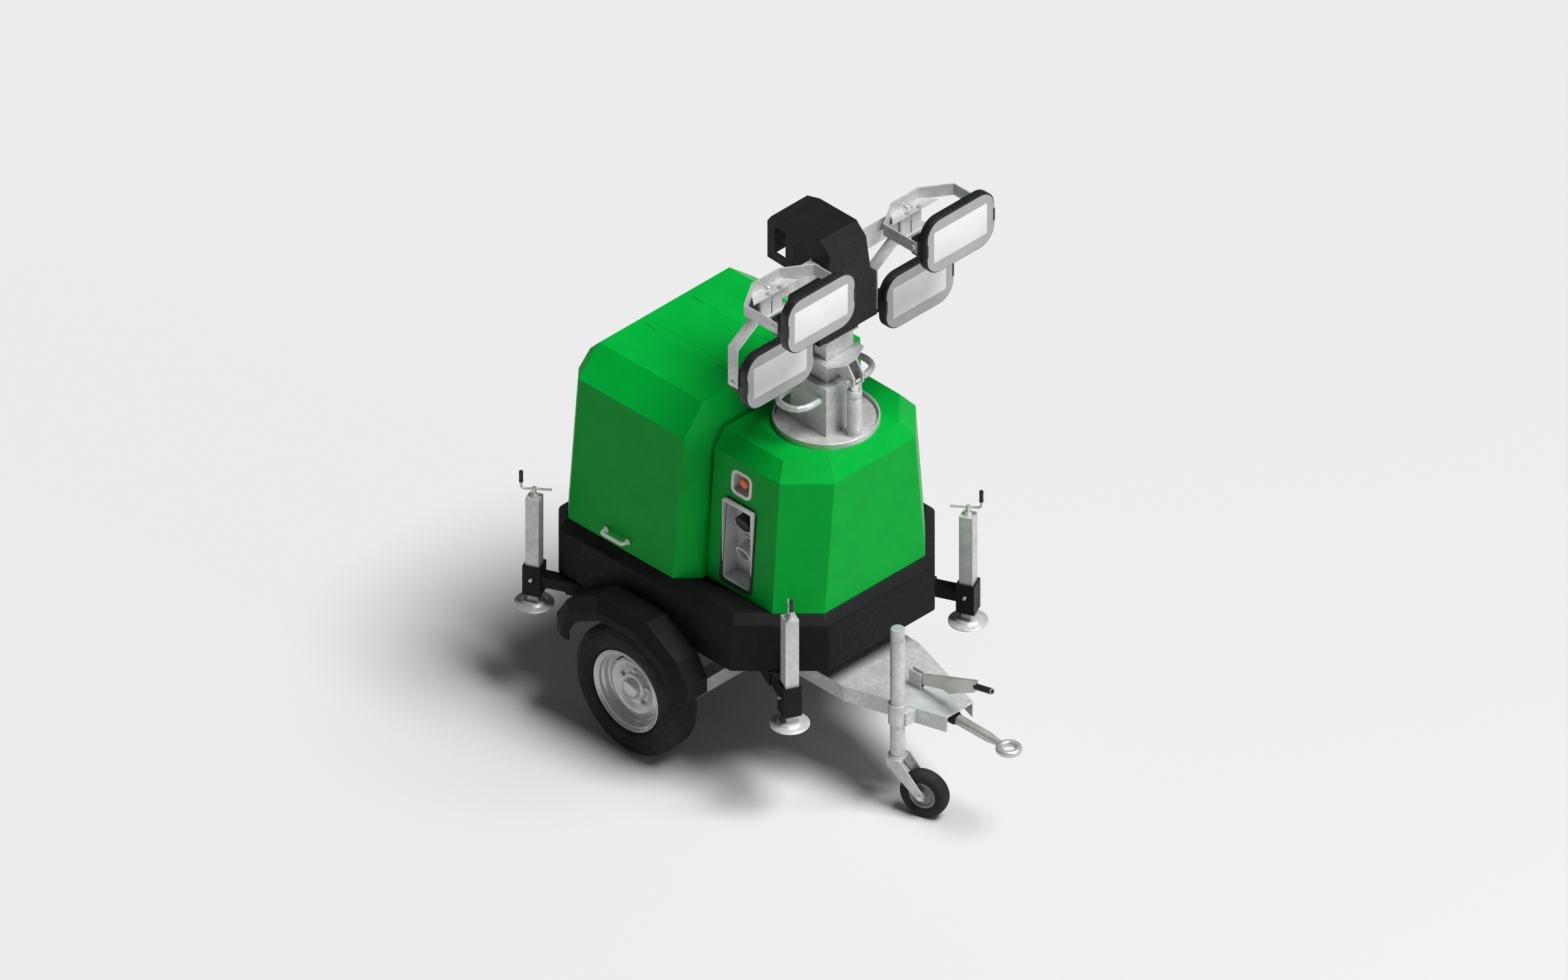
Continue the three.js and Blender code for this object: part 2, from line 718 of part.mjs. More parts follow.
// Lifted section: its head plate carries the ram's two ears.
function mastStage() {
  const tube = post(stageTube, cellar + 90, stageTop - 6);
  const edge = [[-75, -111], [111, -111], [154, -40], [150, 22], [111, 108], [-75, 108]];
  const plate = plan(edge, stageTop - 10, stageTop);
  const ears = [-1, 1].map((side) => {
    const y = side * 26 - 4;
    return profile(
      [
        [stageTube / 2 - 2, stageTop - 6],
        [150, stageTop - 6],
        [190, 1880],
        [190, 1838],
        [166, 1828],
        [stageTube / 2 + 20, 1870],
        [stageTube / 2 - 2, 1872],
      ],
      y,
      y + 8,
    );
  });
  const pin = rod(8, [ramOffset, -44, ramPin], [ramOffset, 44, ramPin], 12);
  const bore = post(stageTube - 2 * mastWall, cellar, stageTop - 40);
  const collarHole = post(innerTube + 2 * run, cellar, stageTop + 1);
  return join(tube, plate, ...ears, pin).subtract(bore).subtract(collarHole);
}

// Inner section with the head box, the head plate and the post that carries the lamp bar.
function mastTopSection() {
  const foot = cellar + 110;
  const bore = post(innerTube - 2 * innerWall, foot - 1, headPlateTop - 20);
  const inner = post(innerTube, foot, stageTop + 20);
  const box = post(headBox, stageTop + run, headPlateTop - 12);
  const plate = post(headPlate, headPlateTop - 12, headPlateTop);
  const neckTop = barCentre[1] - barSection / 2 - gap;
  const neck = block(10, 86, -38, 38, headPlateTop - 4, neckTop);
  const neckBore = block(16, 80, -32, 32, headPlateTop + 10, neckTop + 1);
  return join(inner, box, plate, neck).subtract(bore).subtract(neckBore);
}

function ramCylinder() {
  const barrel = rod(ramRadius, [0, 0, ramFoot], [0, 0, ramTop], 20);
  return barrel.subtract(rod(ramRodRadius + run, [0, 0, ramFoot + 17], [0, 0, ramTop + 1], 16));
}

function ramRod() {
  const bar = rod(ramRodRadius, [0, 0, ramFoot + 47], [0, 0, ramPin - 20], 16);
  const eye = rod(22, [0, -14, ramPin], [0, 14, ramPin], 16);
  return join(bar, eye).subtract(rod(8 + run, [0, -40, ramPin], [0, 40, ramPin], 12));
}

// Shell over the mast head: a box to the rear with a slot in its side, and a flared front leg.
const hoodRear = 136;
const hoodFront = 503;
const hoodSkin = 6;
const slotCut = [182, 246, 2372, 2500];

function hood() {
  // Outer shape for t = 0; for t = the skin, the space inside, which runs out at the bottom.
  const shape = (t) => {
    const top = 106 - t;
    const foot = 170 - t;
    const back = hoodRear + t;
    const front = hoodFront - t;
    const below = (z) => z - 2 * t;
    const box = [
      ...level(2508 - t, [[back, top]]),
      ...level(2540 - t, [[back + 22, top]]),
      ...level(2561 - t, [[back + 94, top], [front - 57, top]]),
      ...level(2504 - t, [[front, top]]),
      ...level(below(2325), [[back, top], [front, top + 14]]),
    ];
    const leg = [
      ...level(2500 - t, [[300, top], [front, top]]),
      ...level(below(2081), [[300, foot], [front, foot]]),
    ];
    return [hull(box), hull(leg)];
  };
  const [box, leg] = shape(0);
  const [boxInside, legInside] = shape(hoodSkin);
  const half = barSection / 2 + 5;
  const [barX, barZ] = barCentre;
  const cuts = [
    boxInside,
    legInside,
    block(290, 490, -100, 100, 2070, 2330),
    block(slotCut[0], slotCut[1], -300, 300, slotCut[2], slotCut[3]),
    block(barX - half, barX + half, -300, 300, barZ - half, barZ + half),
  ];
  return cuts.reduce((whole, cut) => whole.subtract(cut), join(box, leg)).translate([-mastX, 0, 0]);
}

// ---------------------------------------------------------------- floodlights
function lampBar() {
  const [x, z] = barCentre;
  const half = barSection / 2;
  const free = half - 4;
  const tube = block(x - half, x + half, -barY, barY, z - half, z + half);
  const beam = tube.subtract(block(x - free, x + free, -barY - 1, barY + 1, z - free, z + free));
  const bosses = [-1, 1].map((side) => {
    const y = side * lampY;
    return rod(bossRadius, [bossX, y, z], [bossX, y, upperLamp[1] - bracketStrap / 2 - gap], 16);
  });
  return join(beam, ...bosses).translate([-mastX, 0, 0]);
}

// U strap around the back of a lamp, drawn at y = 0 with its arms along +x and its pivots at x = 0.
function strap() {
  const reach = 258;
  const bend = 174;
  const narrow = 80; // half width of the flat back
  const t = bracketSheet;
  const half = bracketStrap / 2;
  const w = bracketHalf;
  const mirrored = (points) => [...points, ...points.map(([x, y]) => [x, -y]).toReversed()];
  const outer = mirrored([[20, w], [-bend, w], [-reach, narrow]]);
  const inner = mirrored([[21, w - t], [-bend + t / 2, w - t], [-reach + t, narrow - t / 2]]);
  const shelf = mirrored([[-bend - 20, 130], [-reach + 1, narrow]]);
  const hoop = plan(outer, -half, half).subtract(plan(inner, -half - 1, half + 1));
  return join(hoop, plan(shelf, -half, -half + t));
}

function lampBracket(side) {
  const upper = strap().translate([upperLamp[0] - pivotBack, 0, upperLamp[1]]);
  const lower = strap().rotate([0, 90, 0]).translate([lowerLamp[0] - pivotBack, 0, lowerLamp[1]]);
  const front = barCentre[0] + barSection / 2 + 2 * run;
  const strapFoot = upperLamp[1] - bracketStrap / 2;
  const spine = block(front, front + 10, -60, 60, 2340, strapFoot + 4);
  const around = rod(bossRadius + run, [bossX, 0, 2300], [bossX, 0, strapFoot], 16);
  const shape = join(upper, lower, spine.subtract(around));
  return shape.translate([-mastX, side * lampY, 0]);
}

// Rounded rectangle in y and z.
function roundedRect(width, height, corner) {
  const w = width / 2 - corner;
  const h = height / 2 - corner;
  const shape = new THREE.Shape();
  shape.absarc(w, h, corner, 0, Math.PI / 2);
  shape.absarc(-w, h, corner, Math.PI / 2, Math.PI);
  shape.absarc(-w, -h, corner, Math.PI, 1.5 * Math.PI);
  shape.absarc(w, -h, corner, 1.5 * Math.PI, 2 * Math.PI);
  shape.closePath();
  return shape;
}

// Flat floodlight, its front face at x = 0, with a trunnion block on each side.
function floodlight() {
  const step = 12; // the back is this much smaller than the face all round
  const face = roundedRect(lampWidth, lampHeight, lampCorner);
  const rear = roundedRect(lampWidth - 2 * step, lampHeight - 2 * step, lampCorner - step);
  const body = section(face, -lampDepth + step, 0);
  const back = section(rear, -lampDepth, -lampDepth + step + 1);
  const earY = bracketHalf - bracketSheet - 2;
  const ears = block(-pivotBack - 22, -lampDepth + 20, -earY, earY, -46, 40);
  const between = block(-pivotBack - 23, -lampDepth, -150, 150, -50, 50);
  return join(body, back, ears.subtract(between));
}

function lamp(name, [x, z], side) {
  const mesh = piece(name, floodlight(), black());
  mesh.position.set(x - mastX, side * lampY, z);
  return mesh;
}

// ---------------------------------------------------------------- generator
const bellX = 30; // joint of the engine's bell housing and the alternator
// Open at the bottom of the sump, hollow up to the cylinder deck.
function engineBlock() {
  const floor = cellar + gap;
  const sump = block(-260, -20, -110, 110, floor, 700);
  const crankcase = block(-280, 0, -150, 150, 699, 1000);
  const head = block(-260, -20, -110, 110, 999, 1120);
  const bell = rod(150, [-1, 0, 860], [bellX, 0, 860], 20);
  const sumpHollow = block(-245, -35, -95, 95, floor - 1, 701);
  const crankHollow = block(-260, -20, -130, 130, 700, 980);
  return join(sump, crankcase, head, bell).subtract(sumpHollow).subtract(crankHollow);
}

function alternator() {
  const drum = rod(140, [bellX + gap, 0, 860], [94, 0, 860], 20);
  const feet = block(bellX + 6, 88, -120, 120, cellar + gap, 800);
  return join(drum, feet);
}

const radiator = () => block(-350, -310, -230, 230, cellar + gap, 1180);

function fuelTank() {
  const rear = 99.5 - deckX;
  const half = deckY - 198;
  return block(rear, -380, -half, half, cellar + gap, 930);
}

function controlPanel() {
  const y = deckY - 258;
  const face = block(-200, 20, y, y + 30, 1000, 1300);
  return face.add(block(-190, 10, y + 20, y + 100, cellar + gap, 1010));
}

// ---------------------------------------------------------------- assembly
const rear = rearBlock();
const stopButton = rod(26, [0, 0, 0], [0, 24, 0], 20).add(rod(stopStem, [0, 23, 0], [0, 64, 0], 12));
const stop = piece("emergency_stop", stopButton, finish(0xd9531e, 0.4, 0));
stop.position.set(stopX, -cowlFaceAt(stopZ) + 6, stopZ);

const chassis = [
  piece("drawbar_frame", drawbarFrame(), zinc()),
  piece("axle_beam", axleBeam(), zinc()),
  piece("base_tray", baseTray(), black()),
  piece("outrigger_beam_front", outriggerBeam(frontJack, 1), black()),
  piece("outrigger_beam_rear", outriggerBeam(rearJack, -1), black()),
  piece("fender_right", fender(-1), black()),
  piece("fender_left", fender(1), black()),
  piece("canopy_strip", rear.strip, green()),
  piece("front_cowl", frontCowl(), green()),
  piece("socket_panel", socketPanel(), finish(0xd8dad9, 0.5, 0)),
  stop,
  piece("tow_eye", towEye(), zinc()),
  piece("handbrake_lever", handbrakeLever(), zinc()),
  piece("jockey_clamp", jockeyClamp(), zinc()),
];

const doors = [
  piece("door_right", rear.right, green()),
  piece("door_left", rear.left, green()),
  piece("door_handle_right", doorHandle(-1), zinc()),
  piece("door_handle_left", doorHandle(1), zinc()),
];

const generator = [
  piece("engine_block", engineBlock(), iron()),
  piece("alternator", alternator(), iron()),
  piece("radiator", radiator(), black()),
  piece("fuel_tank", fuelTank(), black()),
  piece("control_panel", controlPanel(), zinc()),
];

const running = [
  roadWheel("right", -1),
  roadWheel("left", 1),
  jockeyWheel(),
  outrigger("front_right", frontJack, 1, -1),
  outrigger("front_left", frontJack, 1, 1),
  outrigger("rear_right", rearJack, -1, -1),
  outrigger("rear_left", rearJack, -1, 1),
];

const ringBand = rod(ringRadius, [0, 0, bonnet + gap], [0, 0, ringTop], ringSides).subtract(
  rod(ringRadius - ringWall, [0, 0, bonnet - 1], [0, 0, ringTop + 1], ringSides),
);
const ramParts = [piece("ram_cylinder", ramCylinder(), zinc()), piece("ram_rod", ramRod(), zinc())];
const mast = group(
  [
    piece("mast_ring", ringBand, zinc()),
    piece("mast_base", mastBase(), zinc()),
    piece("mast_stage", mastStage(), zinc()),
    piece("mast_top", mastTopSection(), zinc()),
    group(ramParts, ramOffset),
    piece("hood", hood(), black()),
    piece("lamp_bar", lampBar(), zinc()),
    piece("lamp_bracket_right", lampBracket(-1), zinc()),
    piece("lamp_bracket_left", lampBracket(1), zinc()),
    lamp("lamp_upper_right", upperLamp, -1),
    lamp("lamp_upper_left", upperLamp, 1),
    lamp("lamp_lower_right", lowerLamp, -1),
    lamp("lamp_lower_left", lowerLamp, 1),
  ],
  mastX,
);

const trailer = new THREE.Group();
trailer.add(...chassis, ...doors, ...generator, ...running, mast);
const frontmost = eyeX + eyeRing + eyeSection;
const rearmost = rearJack[0] - padRadius;
trailer.position.x = -(frontmost + rearmost) / 2;

export default new THREE.Group().add(trailer);
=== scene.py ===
import json
import math

import bmesh
import bpy
from mathutils import Matrix, Vector


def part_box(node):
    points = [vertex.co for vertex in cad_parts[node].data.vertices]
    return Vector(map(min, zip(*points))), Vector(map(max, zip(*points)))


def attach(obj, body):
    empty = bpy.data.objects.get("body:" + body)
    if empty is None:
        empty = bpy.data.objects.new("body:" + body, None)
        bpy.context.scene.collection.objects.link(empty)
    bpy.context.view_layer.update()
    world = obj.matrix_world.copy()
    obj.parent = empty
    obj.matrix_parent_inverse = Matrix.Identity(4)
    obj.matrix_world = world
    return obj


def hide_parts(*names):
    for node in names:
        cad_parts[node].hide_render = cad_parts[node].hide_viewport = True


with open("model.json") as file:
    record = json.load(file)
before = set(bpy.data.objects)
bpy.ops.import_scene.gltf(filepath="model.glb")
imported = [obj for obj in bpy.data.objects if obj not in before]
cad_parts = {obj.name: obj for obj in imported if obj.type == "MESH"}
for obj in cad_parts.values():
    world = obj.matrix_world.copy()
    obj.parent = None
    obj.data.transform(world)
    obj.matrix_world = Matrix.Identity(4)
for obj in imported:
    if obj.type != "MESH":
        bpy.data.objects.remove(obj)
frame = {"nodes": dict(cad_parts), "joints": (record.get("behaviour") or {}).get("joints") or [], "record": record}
scene = bpy.context.scene
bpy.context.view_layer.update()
record = frame["record"]
body_of = {n: b for b, nodes in record["behaviour"]["bodies"].items() for n in nodes}
slot_of = {s["node"]: s["material_slot"] for s in record["subparts"]}
tray_lo, tray_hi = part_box("base_tray")
MID = (tray_lo.x + tray_hi.x) / 2  # x of the tray's centre


def T(x, y, z):
    """A point given in millimetres from the tray's centre, at ground level."""
    return Vector((MID + x / 1000, y / 1000, z / 1000))


# ---------------------------------------------------------------- materials
def ramp(nodes, links, source, low, high, a=0.35, b=0.65):
    """Maps the range a to b of a value onto low to high."""
    node = nodes.new("ShaderNodeMapRange")
    node.inputs["From Min"].default_value = a
    node.inputs["From Max"].default_value = b
    node.inputs["To Min"].default_value = low
    node.inputs["To Max"].default_value = high
    links.new(source, node.inputs["Value"])
    return node.outputs["Result"]


def mixed(nodes, links, factor, a, b):
    """A mix of two colours, each a node output or a tuple."""
    node = nodes.new("ShaderNodeMix")
    node.data_type = "RGBA"
    for value, index in ((a, 6), (b, 7)):
        if isinstance(value, tuple):
            node.inputs[index].default_value = (*value, 1)
        else:
            links.new(value, node.inputs[index])
    links.new(factor, node.inputs[0])
    return node.outputs[2]


BLOTCH = 9  # scale of the slow change of shade over a surface


def material(name, color, rough, metallic=0.0, grain=900, bump=0.05, vary=0.12, cells=0, brushed=None,
             coat=0.0, specular=0.5):
    """A procedural material: slow shade, fine relief, and zinc flakes or a brushed grain if asked for."""
    mat = bpy.data.materials.new(name)
    mat.use_nodes = True
    nodes, links = mat.node_tree.nodes, mat.node_tree.links
    shader = nodes["Principled BSDF"]
    shader.inputs["Metallic"].default_value = metallic
    shader.inputs["Coat Weight"].default_value = coat
    shader.inputs["Coat Roughness"].default_value = 0.25
    shader.inputs["Specular IOR Level"].default_value = specular
    place = nodes.new("ShaderNodeTexCoord").outputs["Object"]

    def noise(scale, detail=3.0, stretch=None):
        source = place
        if stretch:
            mapping = nodes.new("ShaderNodeMapping")
            mapping.inputs["Scale"].default_value = stretch
            links.new(place, mapping.inputs["Vector"])
            source = mapping.outputs["Vector"]
        node = nodes.new("ShaderNodeTexNoise")
        node.inputs["Scale"].default_value = scale
        node.inputs["Detail"].default_value = detail
        links.new(source, node.inputs["Vector"])
        return node.outputs["Fac"]

    soft = noise(BLOTCH, 4)
    dark = tuple(c * (1 - vary) for c in color)
    light = tuple(min(1, c * (1 + vary)) for c in color)
    shade = mixed(nodes, links, ramp(nodes, links, soft, 0, 1), dark, light)
    height = noise(grain, 2, brushed)
    if cells:
        voronoi = nodes.new("ShaderNodeTexVoronoi")
        voronoi.inputs["Scale"].default_value = cells
        links.new(place, voronoi.inputs["Vector"])
        split = nodes.new("ShaderNodeSeparateColor")
        links.new(voronoi.outputs["Color"], split.inputs["Color"])
        flake = ramp(nodes, links, split.outputs["Red"], 0, 0.5, 0, 1)
        shade = mixed(nodes, links, flake, shade, tuple(c * 0.72 for c in color))
    links.new(shade, shader.inputs["Base Color"])
    links.new(ramp(nodes, links, noise(BLOTCH * 5, 5), rough - 0.07, min(1, rough + 0.09)),
              shader.inputs["Roughness"])
    relief = nodes.new("ShaderNodeBump")
    relief.inputs["Strength"].default_value = bump
    relief.inputs["Distance"].default_value = 0.002
    links.new(height, relief.inputs["Height"])
    links.new(relief.outputs["Normal"], shader.inputs["Normal"])
    return mat


GREEN = (0.0004, 0.35, 0.036)
STEEL = (0.62, 0.63, 0.62)
mats = {
    "canopy_plastic": material("canopy", GREEN, 0.4, vary=0.04, bump=0.05, grain=700, specular=0.07),
    "tray_plastic": material("tray", (0.009, 0.0092, 0.010), 0.55, vary=0.1, bump=0.06, grain=480,
                             specular=0.1),
    "outrigger_black": material("outrigger", (0.009, 0.0092, 0.010), 0.45, vary=0.12, bump=0.05, grain=260,
                                specular=0.12),
    "frame_galvanised": material("galvanised", STEEL, 0.45, 0.35, cells=75, bump=0.06, grain=220),
    "mast_galvanised": material("mast_zinc", (0.60, 0.61, 0.60), 0.42, 0.4, cells=60, bump=0.05, grain=220),
    "zinc_hardware": material("zinc", (0.58, 0.58, 0.56), 0.36, 0.6, brushed=(1, 1, 12), bump=0.05,
                              grain=160),
    "ram_chrome": material("chrome", (0.75, 0.76, 0.77), 0.12, 1.0, vary=0.03, brushed=(1, 1, 0.1),
                           bump=0.02),
    "handle_white": material("handle", (0.72, 0.73, 0.72), 0.35, vary=0.06, bump=0.04),
    "socket_white": material("panel_white", (0.66, 0.68, 0.67), 0.45, vary=0.08, bump=0.08, grain=600),
    "stop_orange": material("stop", (0.80, 0.14, 0.02), 0.25, vary=0.08, bump=0.02, coat=0.4),
    "hood_black": material("hood", (0.012, 0.0123, 0.013), 0.45, vary=0.1, bump=0.06, grain=520,
                           specular=0.14),
    "bracket_steel": material("bracket", (0.60, 0.61, 0.60), 0.42, 0.35, cells=80, bump=0.05, grain=260),
    "lamp_housing": material("lamp_black", (0.014, 0.0145, 0.016), 0.45, 0.2, vary=0.2, bump=0.1, grain=700),
    "tyre_rubber": material("tyre", (0.014, 0.014, 0.0145), 0.72, vary=0.3, bump=0.14, grain=420,
                            specular=0.25),
    "rim_silver": material("rim", (0.62, 0.63, 0.63), 0.33, 0.5, vary=0.06, bump=0.04, grain=500),
    "jockey_rubber": material("jockey_tyre", (0.02, 0.02, 0.021), 0.75, vary=0.3, bump=0.14, grain=420,
                              specular=0.25),
    "engine_iron": material("engine", (0.10, 0.105, 0.11), 0.5, 0.25, vary=0.25, bump=0.25, grain=260),
    "radiator_aluminium": material("radiator", (0.05, 0.052, 0.055), 0.5, 0.4, vary=0.2, bump=0.2, grain=300),
    "tank_plastic": material("tank", (0.03, 0.03, 0.032), 0.5, vary=0.25, bump=0.15, grain=350),
    "control_grey": material("control", (0.32, 0.33, 0.33), 0.45, vary=0.1, bump=0.06, grain=500),
}
mats["cowl_plastic"] = mats["canopy_plastic"]
mats["fender_black"] = mats["tray_plastic"]
mats["jack_galvanised"] = mats["mast_galvanised"]
mats["ram_steel"] = mats["mast_galvanised"]
bezel_mat = material("bezel", (0.40, 0.405, 0.40), 0.38, 0.25, vary=0.06, bump=0.05, grain=700)
window_mat = material("lamp_window", (0.74, 0.75, 0.74), 0.18, vary=0.03, bump=0.02, grain=140, coat=0.5)
grip_mat = material("grip", (0.01, 0.01, 0.011), 0.55, vary=0.3, bump=0.2, grain=600)
dark_mat = material("shadow_plastic", (0.006, 0.006, 0.0065), 0.6, vary=0.3, bump=0.1)
seal_mat = material("seal", (0.008, 0.008, 0.0085), 0.75, vary=0.3, bump=0.15, grain=300)
white_mat = material("stripe_white", (0.75, 0.76, 0.75), 0.4, vary=0.04, bump=0.03)
hub_mat = material("hub_grey", (0.20, 0.205, 0.21), 0.5, 0.2, vary=0.15, bump=0.08, grain=400)


# ---------------------------------------------------------------- building helpers
def place(obj, body, mat, slot, replaces=()):
    """Gives a piece its material and body, and hides the CAD nodes that it stands for; the slot is not used."""
    obj.data.materials.clear()
    obj.data.materials.append(mat)
    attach(obj, body)
    if replaces:
        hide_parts(*replaces)
    return obj


def smooth(mesh, angle=35):
    """Round shading, with sharp edges where faces meet at more than an angle in degrees."""
    for face in mesh.polygons:
        face.use_smooth = True
    mesh.set_sharp_from_angle(angle=math.radians(angle))


def from_bmesh(bm, name, width=0.0, segments=2, angle=35, limit=28):
    """An object from a bmesh, its edges sharper than a limit rolled to a width."""
    bmesh.ops.recalc_face_normals(bm, faces=bm.faces)
    mesh = bpy.data.meshes.new(name)
    bm.to_mesh(mesh)
    bm.free()
    obj = bpy.data.objects.new(name, mesh)
    scene.collection.objects.link(obj)
    if width:
        bevel = obj.modifiers.new("edge", "BEVEL")
        bevel.width = width
        bevel.segments = segments
        bevel.limit_method = "ANGLE"
        bevel.angle_limit = math.radians(limit)
        bpy.context.view_layer.objects.active = obj
        obj.select_set(True)
        bpy.ops.object.modifier_apply(modifier=bevel.name)
        obj.select_set(False)
    smooth(obj.data, angle)
    return obj


FOLD_ANGLE = 16  # degrees; folds of CAD nodes sharper than this are shaded as edges
FOLD_LIMIT = 12  # degrees; folds of CAD nodes sharper than this are rolled


def refine(node, width, segments):
    """A copy of a CAD node with rolled edges, standing for that node."""
    bm = bmesh.new()
    bm.from_mesh(frame["nodes"][node].data)
    bmesh.ops.remove_doubles(bm, verts=bm.verts, dist=2e-5)
    bmesh.ops.dissolve_limit(bm, angle_limit=math.radians(0.6), verts=bm.verts, edges=bm.edges)
    obj = from_bmesh(bm, node + "_skin", width, segments, FOLD_ANGLE, FOLD_LIMIT)
    for face in obj.data.polygons:  # only the narrow faces along rolled edges are shaded round
        rim = [obj.data.vertices[i].co for i in face.vertices]
        around = sum((a - b).length for a, b in zip(rim, rim[1:] + rim[:1]))
        face.use_smooth = 2 * face.area / around < 1.2 * width
    return place(obj, body_of[node], mats[slot_of[node]], slot_of[node], [node])


def ring_loops(name, loops, closed_along=False, width=0.0):
    """A skin over loops of points that all have the same count."""
    bm = bmesh.new()
    rows = [[bm.verts.new(p) for p in loop] for loop in loops]
    count = len(rows[0])
    pairs = list(zip(rows, rows[1:]))
    if closed_along:
        pairs.append((rows[-1], rows[0]))
    for a, b in pairs:
        for i in range(count):
            j = (i + 1) % count
            bm.faces.new((a[i], a[j], b[j], b[i]))
    if not closed_along:
        bm.faces.new(rows[0][::-1])
        bm.faces.new(rows[-1])
    bmesh.ops.remove_doubles(bm, verts=bm.verts, dist=1e-6)
    return from_bmesh(bm, name, width)


def lathe(name, profile, centre, axis="Z", steps=64, closed=False):
    """Turned shape: profile of (radius, height) in millimetres along the axis."""
    turn = {"Z": Matrix.Identity(3), "Y": Matrix.Rotation(-math.pi / 2, 3, "X"),
            "X": Matrix.Rotation(math.pi / 2, 3, "Y")}[axis] \
        if isinstance(axis, str) else Vector((0, 0, 1)).rotation_difference(Vector(axis)).to_matrix()
    bm = bmesh.new()
    points = list(profile) + ([profile[0]] if closed else [])
    rows = []
    for k in range(steps):
        a = 2 * math.pi * k / steps
        rows.append([bm.verts.new(centre + turn @ Vector((r * math.cos(a), r * math.sin(a), h)) / 1000)
                     for r, h in points])
    for k in range(steps):
        a, b = rows[k], rows[(k + 1) % steps]
        for i in range(len(points) - 1):
            bm.faces.new((a[i], b[i], b[i + 1], a[i + 1]))
    bmesh.ops.remove_doubles(bm, verts=bm.verts, dist=2e-6)
    bmesh.ops.dissolve_degenerate(bm, edges=bm.edges, dist=1e-6)
    return from_bmesh(bm, name, angle=40)


def smooth_path(points, steps=6):
    """Points on a Catmull-Rom curve through the given ones."""
    pts = [points[0]] + list(points) + [points[-1]]
    out = []
    for i in range(1, len(pts) - 2):
        for k in range(steps):
            t = k / steps
            a, b, c, d = pts[i - 1], pts[i], pts[i + 1], pts[i + 2]
            out.append(0.5 * (2 * b + (c - a) * t + (2 * a - 5 * b + 4 * c - d) * t * t
                              + (3 * b - a - 3 * c + d) * t ** 3))
    return out + [points[-1]]


def sweep(name, points, radius, sides=14, taper=None):
    """A round bar along points."""
    frame_up = None
    loops = []
    for i, p in enumerate(points):
        ahead = (points[min(i + 1, len(points) - 1)] - points[max(i - 1, 0)]).normalized()
        if frame_up is None:
            frame_up = ahead.orthogonal().normalized()
        frame_up = (frame_up - ahead * frame_up.dot(ahead)).normalized()
        side = ahead.cross(frame_up)
        r = radius * (taper[i] if taper else 1)
        loops.append([p + (frame_up * math.cos(a) + side * math.sin(a)) * r
                      for a in (2 * math.pi * k / sides for k in range(sides))])
    return ring_loops(name, loops)


def rounded(width, height, corner, steps=6):
    """Outline of a rounded rectangle as (u, v) points."""
    points = []
    for cx, cy, start in ((1, 1, 0), (-1, 1, 90), (-1, -1, 180), (1, -1, 270)):
        for k in range(steps + 1):
            a = math.radians(start + 90 * k / steps)
            points.append((cx * (width / 2 - corner) + corner * math.cos(a), cy * (height / 2 - corner)
                           + corner * math.sin(a)))
    return points


def plate(name, outline, a, b, basis, width=0.0):
    """An outline in millimetres between two heights of a basis (origin, u, v, normal)."""
    origin, u, v, n = basis
    loops = [[origin + (u * p + v * q + n * h) / 1000 for p, q in outline] for h in (a, b)]
    return ring_loops(name, loops, width=width)


def frame_ring(name, outer, inner, a, b, basis):
    """A flat frame between two outlines with the same count of points."""
    origin, u, v, n = basis
    loops = [[origin + (u * p + v * q + n * h) / 1000 for p, q in line] for line, h in
             ((outer, a), (outer, b), (inner, b), (inner, a))]
    return ring_loops(name, loops, closed_along=True)


def merge(name, objects):
    """One object from several that share a body and a material."""
    bm = bmesh.new()
    for obj in objects:
        bm.from_mesh(obj.data)
        bpy.data.objects.remove(obj)
    mesh = bpy.data.meshes.new(name)
    bm.to_mesh(mesh)
    bm.free()
    smooth(mesh)
    obj = bpy.data.objects.new(name, mesh)
    scene.collection.objects.link(obj)
    return obj


def hexagon(radius):
    """Outline of a hexagon with its corners at a radius."""
    return [(radius * math.cos(math.radians(60 * k)), radius * math.sin(math.radians(60 * k)))
            for k in range(6)]


def basis_at(origin, normal, up=Vector((0, 0, 1))):
    """A basis for plate(), facing along a normal."""
    n = normal.normalized()
    u = up.cross(n).normalized()
    return (origin, u, n.cross(u), n)


def bolts(name, body, spots, radius=8, height=5):
    """Hexagon heads on washers; a spot is a point and the way it faces."""
    made = []
    for k, (point, normal) in enumerate(spots):
        basis = basis_at(point, normal, Vector((0.13, 0.31, 0.94)))
        made.append(plate(f"h{k}", hexagon(radius), 1, 1 + height, basis, 0.0008))
        washer = [(radius * 1.35 * math.cos(a), radius * 1.35 * math.sin(a))
                  for a in (2 * math.pi * i / 20 for i in range(20))]
        made.append(plate(f"w{k}", washer, -0.5, 1.2, basis))
    return place(merge(name, made), body, mats["zinc_hardware"], "zinc_hardware")


# ---------------------------------------------------------------- folded, moulded and welded parts
for node, width, segments in (
    ("canopy_strip", 0.0035, 2), ("door_right", 0.0035, 2), ("door_left", 0.0035, 2),
                              ("front_cowl", 0.0035, 2),
    ("base_tray", 0.008, 3), ("fender_right", 0.0025, 2), ("fender_left", 0.0025, 2),
    ("outrigger_beam_front", 0.003, 2), ("outrigger_beam_rear", 0.003, 2), ("drawbar_frame", 0.0025, 2),
    ("axle_beam", 0.003, 2), ("socket_panel", 0.0015, 2), ("handbrake_lever", 0.0015, 2),
                              ("jockey_clamp", 0.002, 2),
    ("mast_base", 0.004, 2), ("mast_stage", 0.003, 2), ("mast_top", 0.003, 2), ("hood", 0.0025, 2),
    ("lamp_bar", 0.002, 2), ("lamp_bracket_right", 0.001, 1), ("lamp_bracket_left", 0.001, 1),
    ("jockey_fork", 0.0015, 2), ("engine_block", 0.006, 3), ("alternator", 0.004, 2), ("radiator", 0.006, 3),
    ("fuel_tank", 0.02, 4), ("control_panel", 0.004, 2),
):
    refine(node, width, segments)
CORNERS = [f"{end}_{side}" for end in ("front", "rear") for side in ("right", "left")]
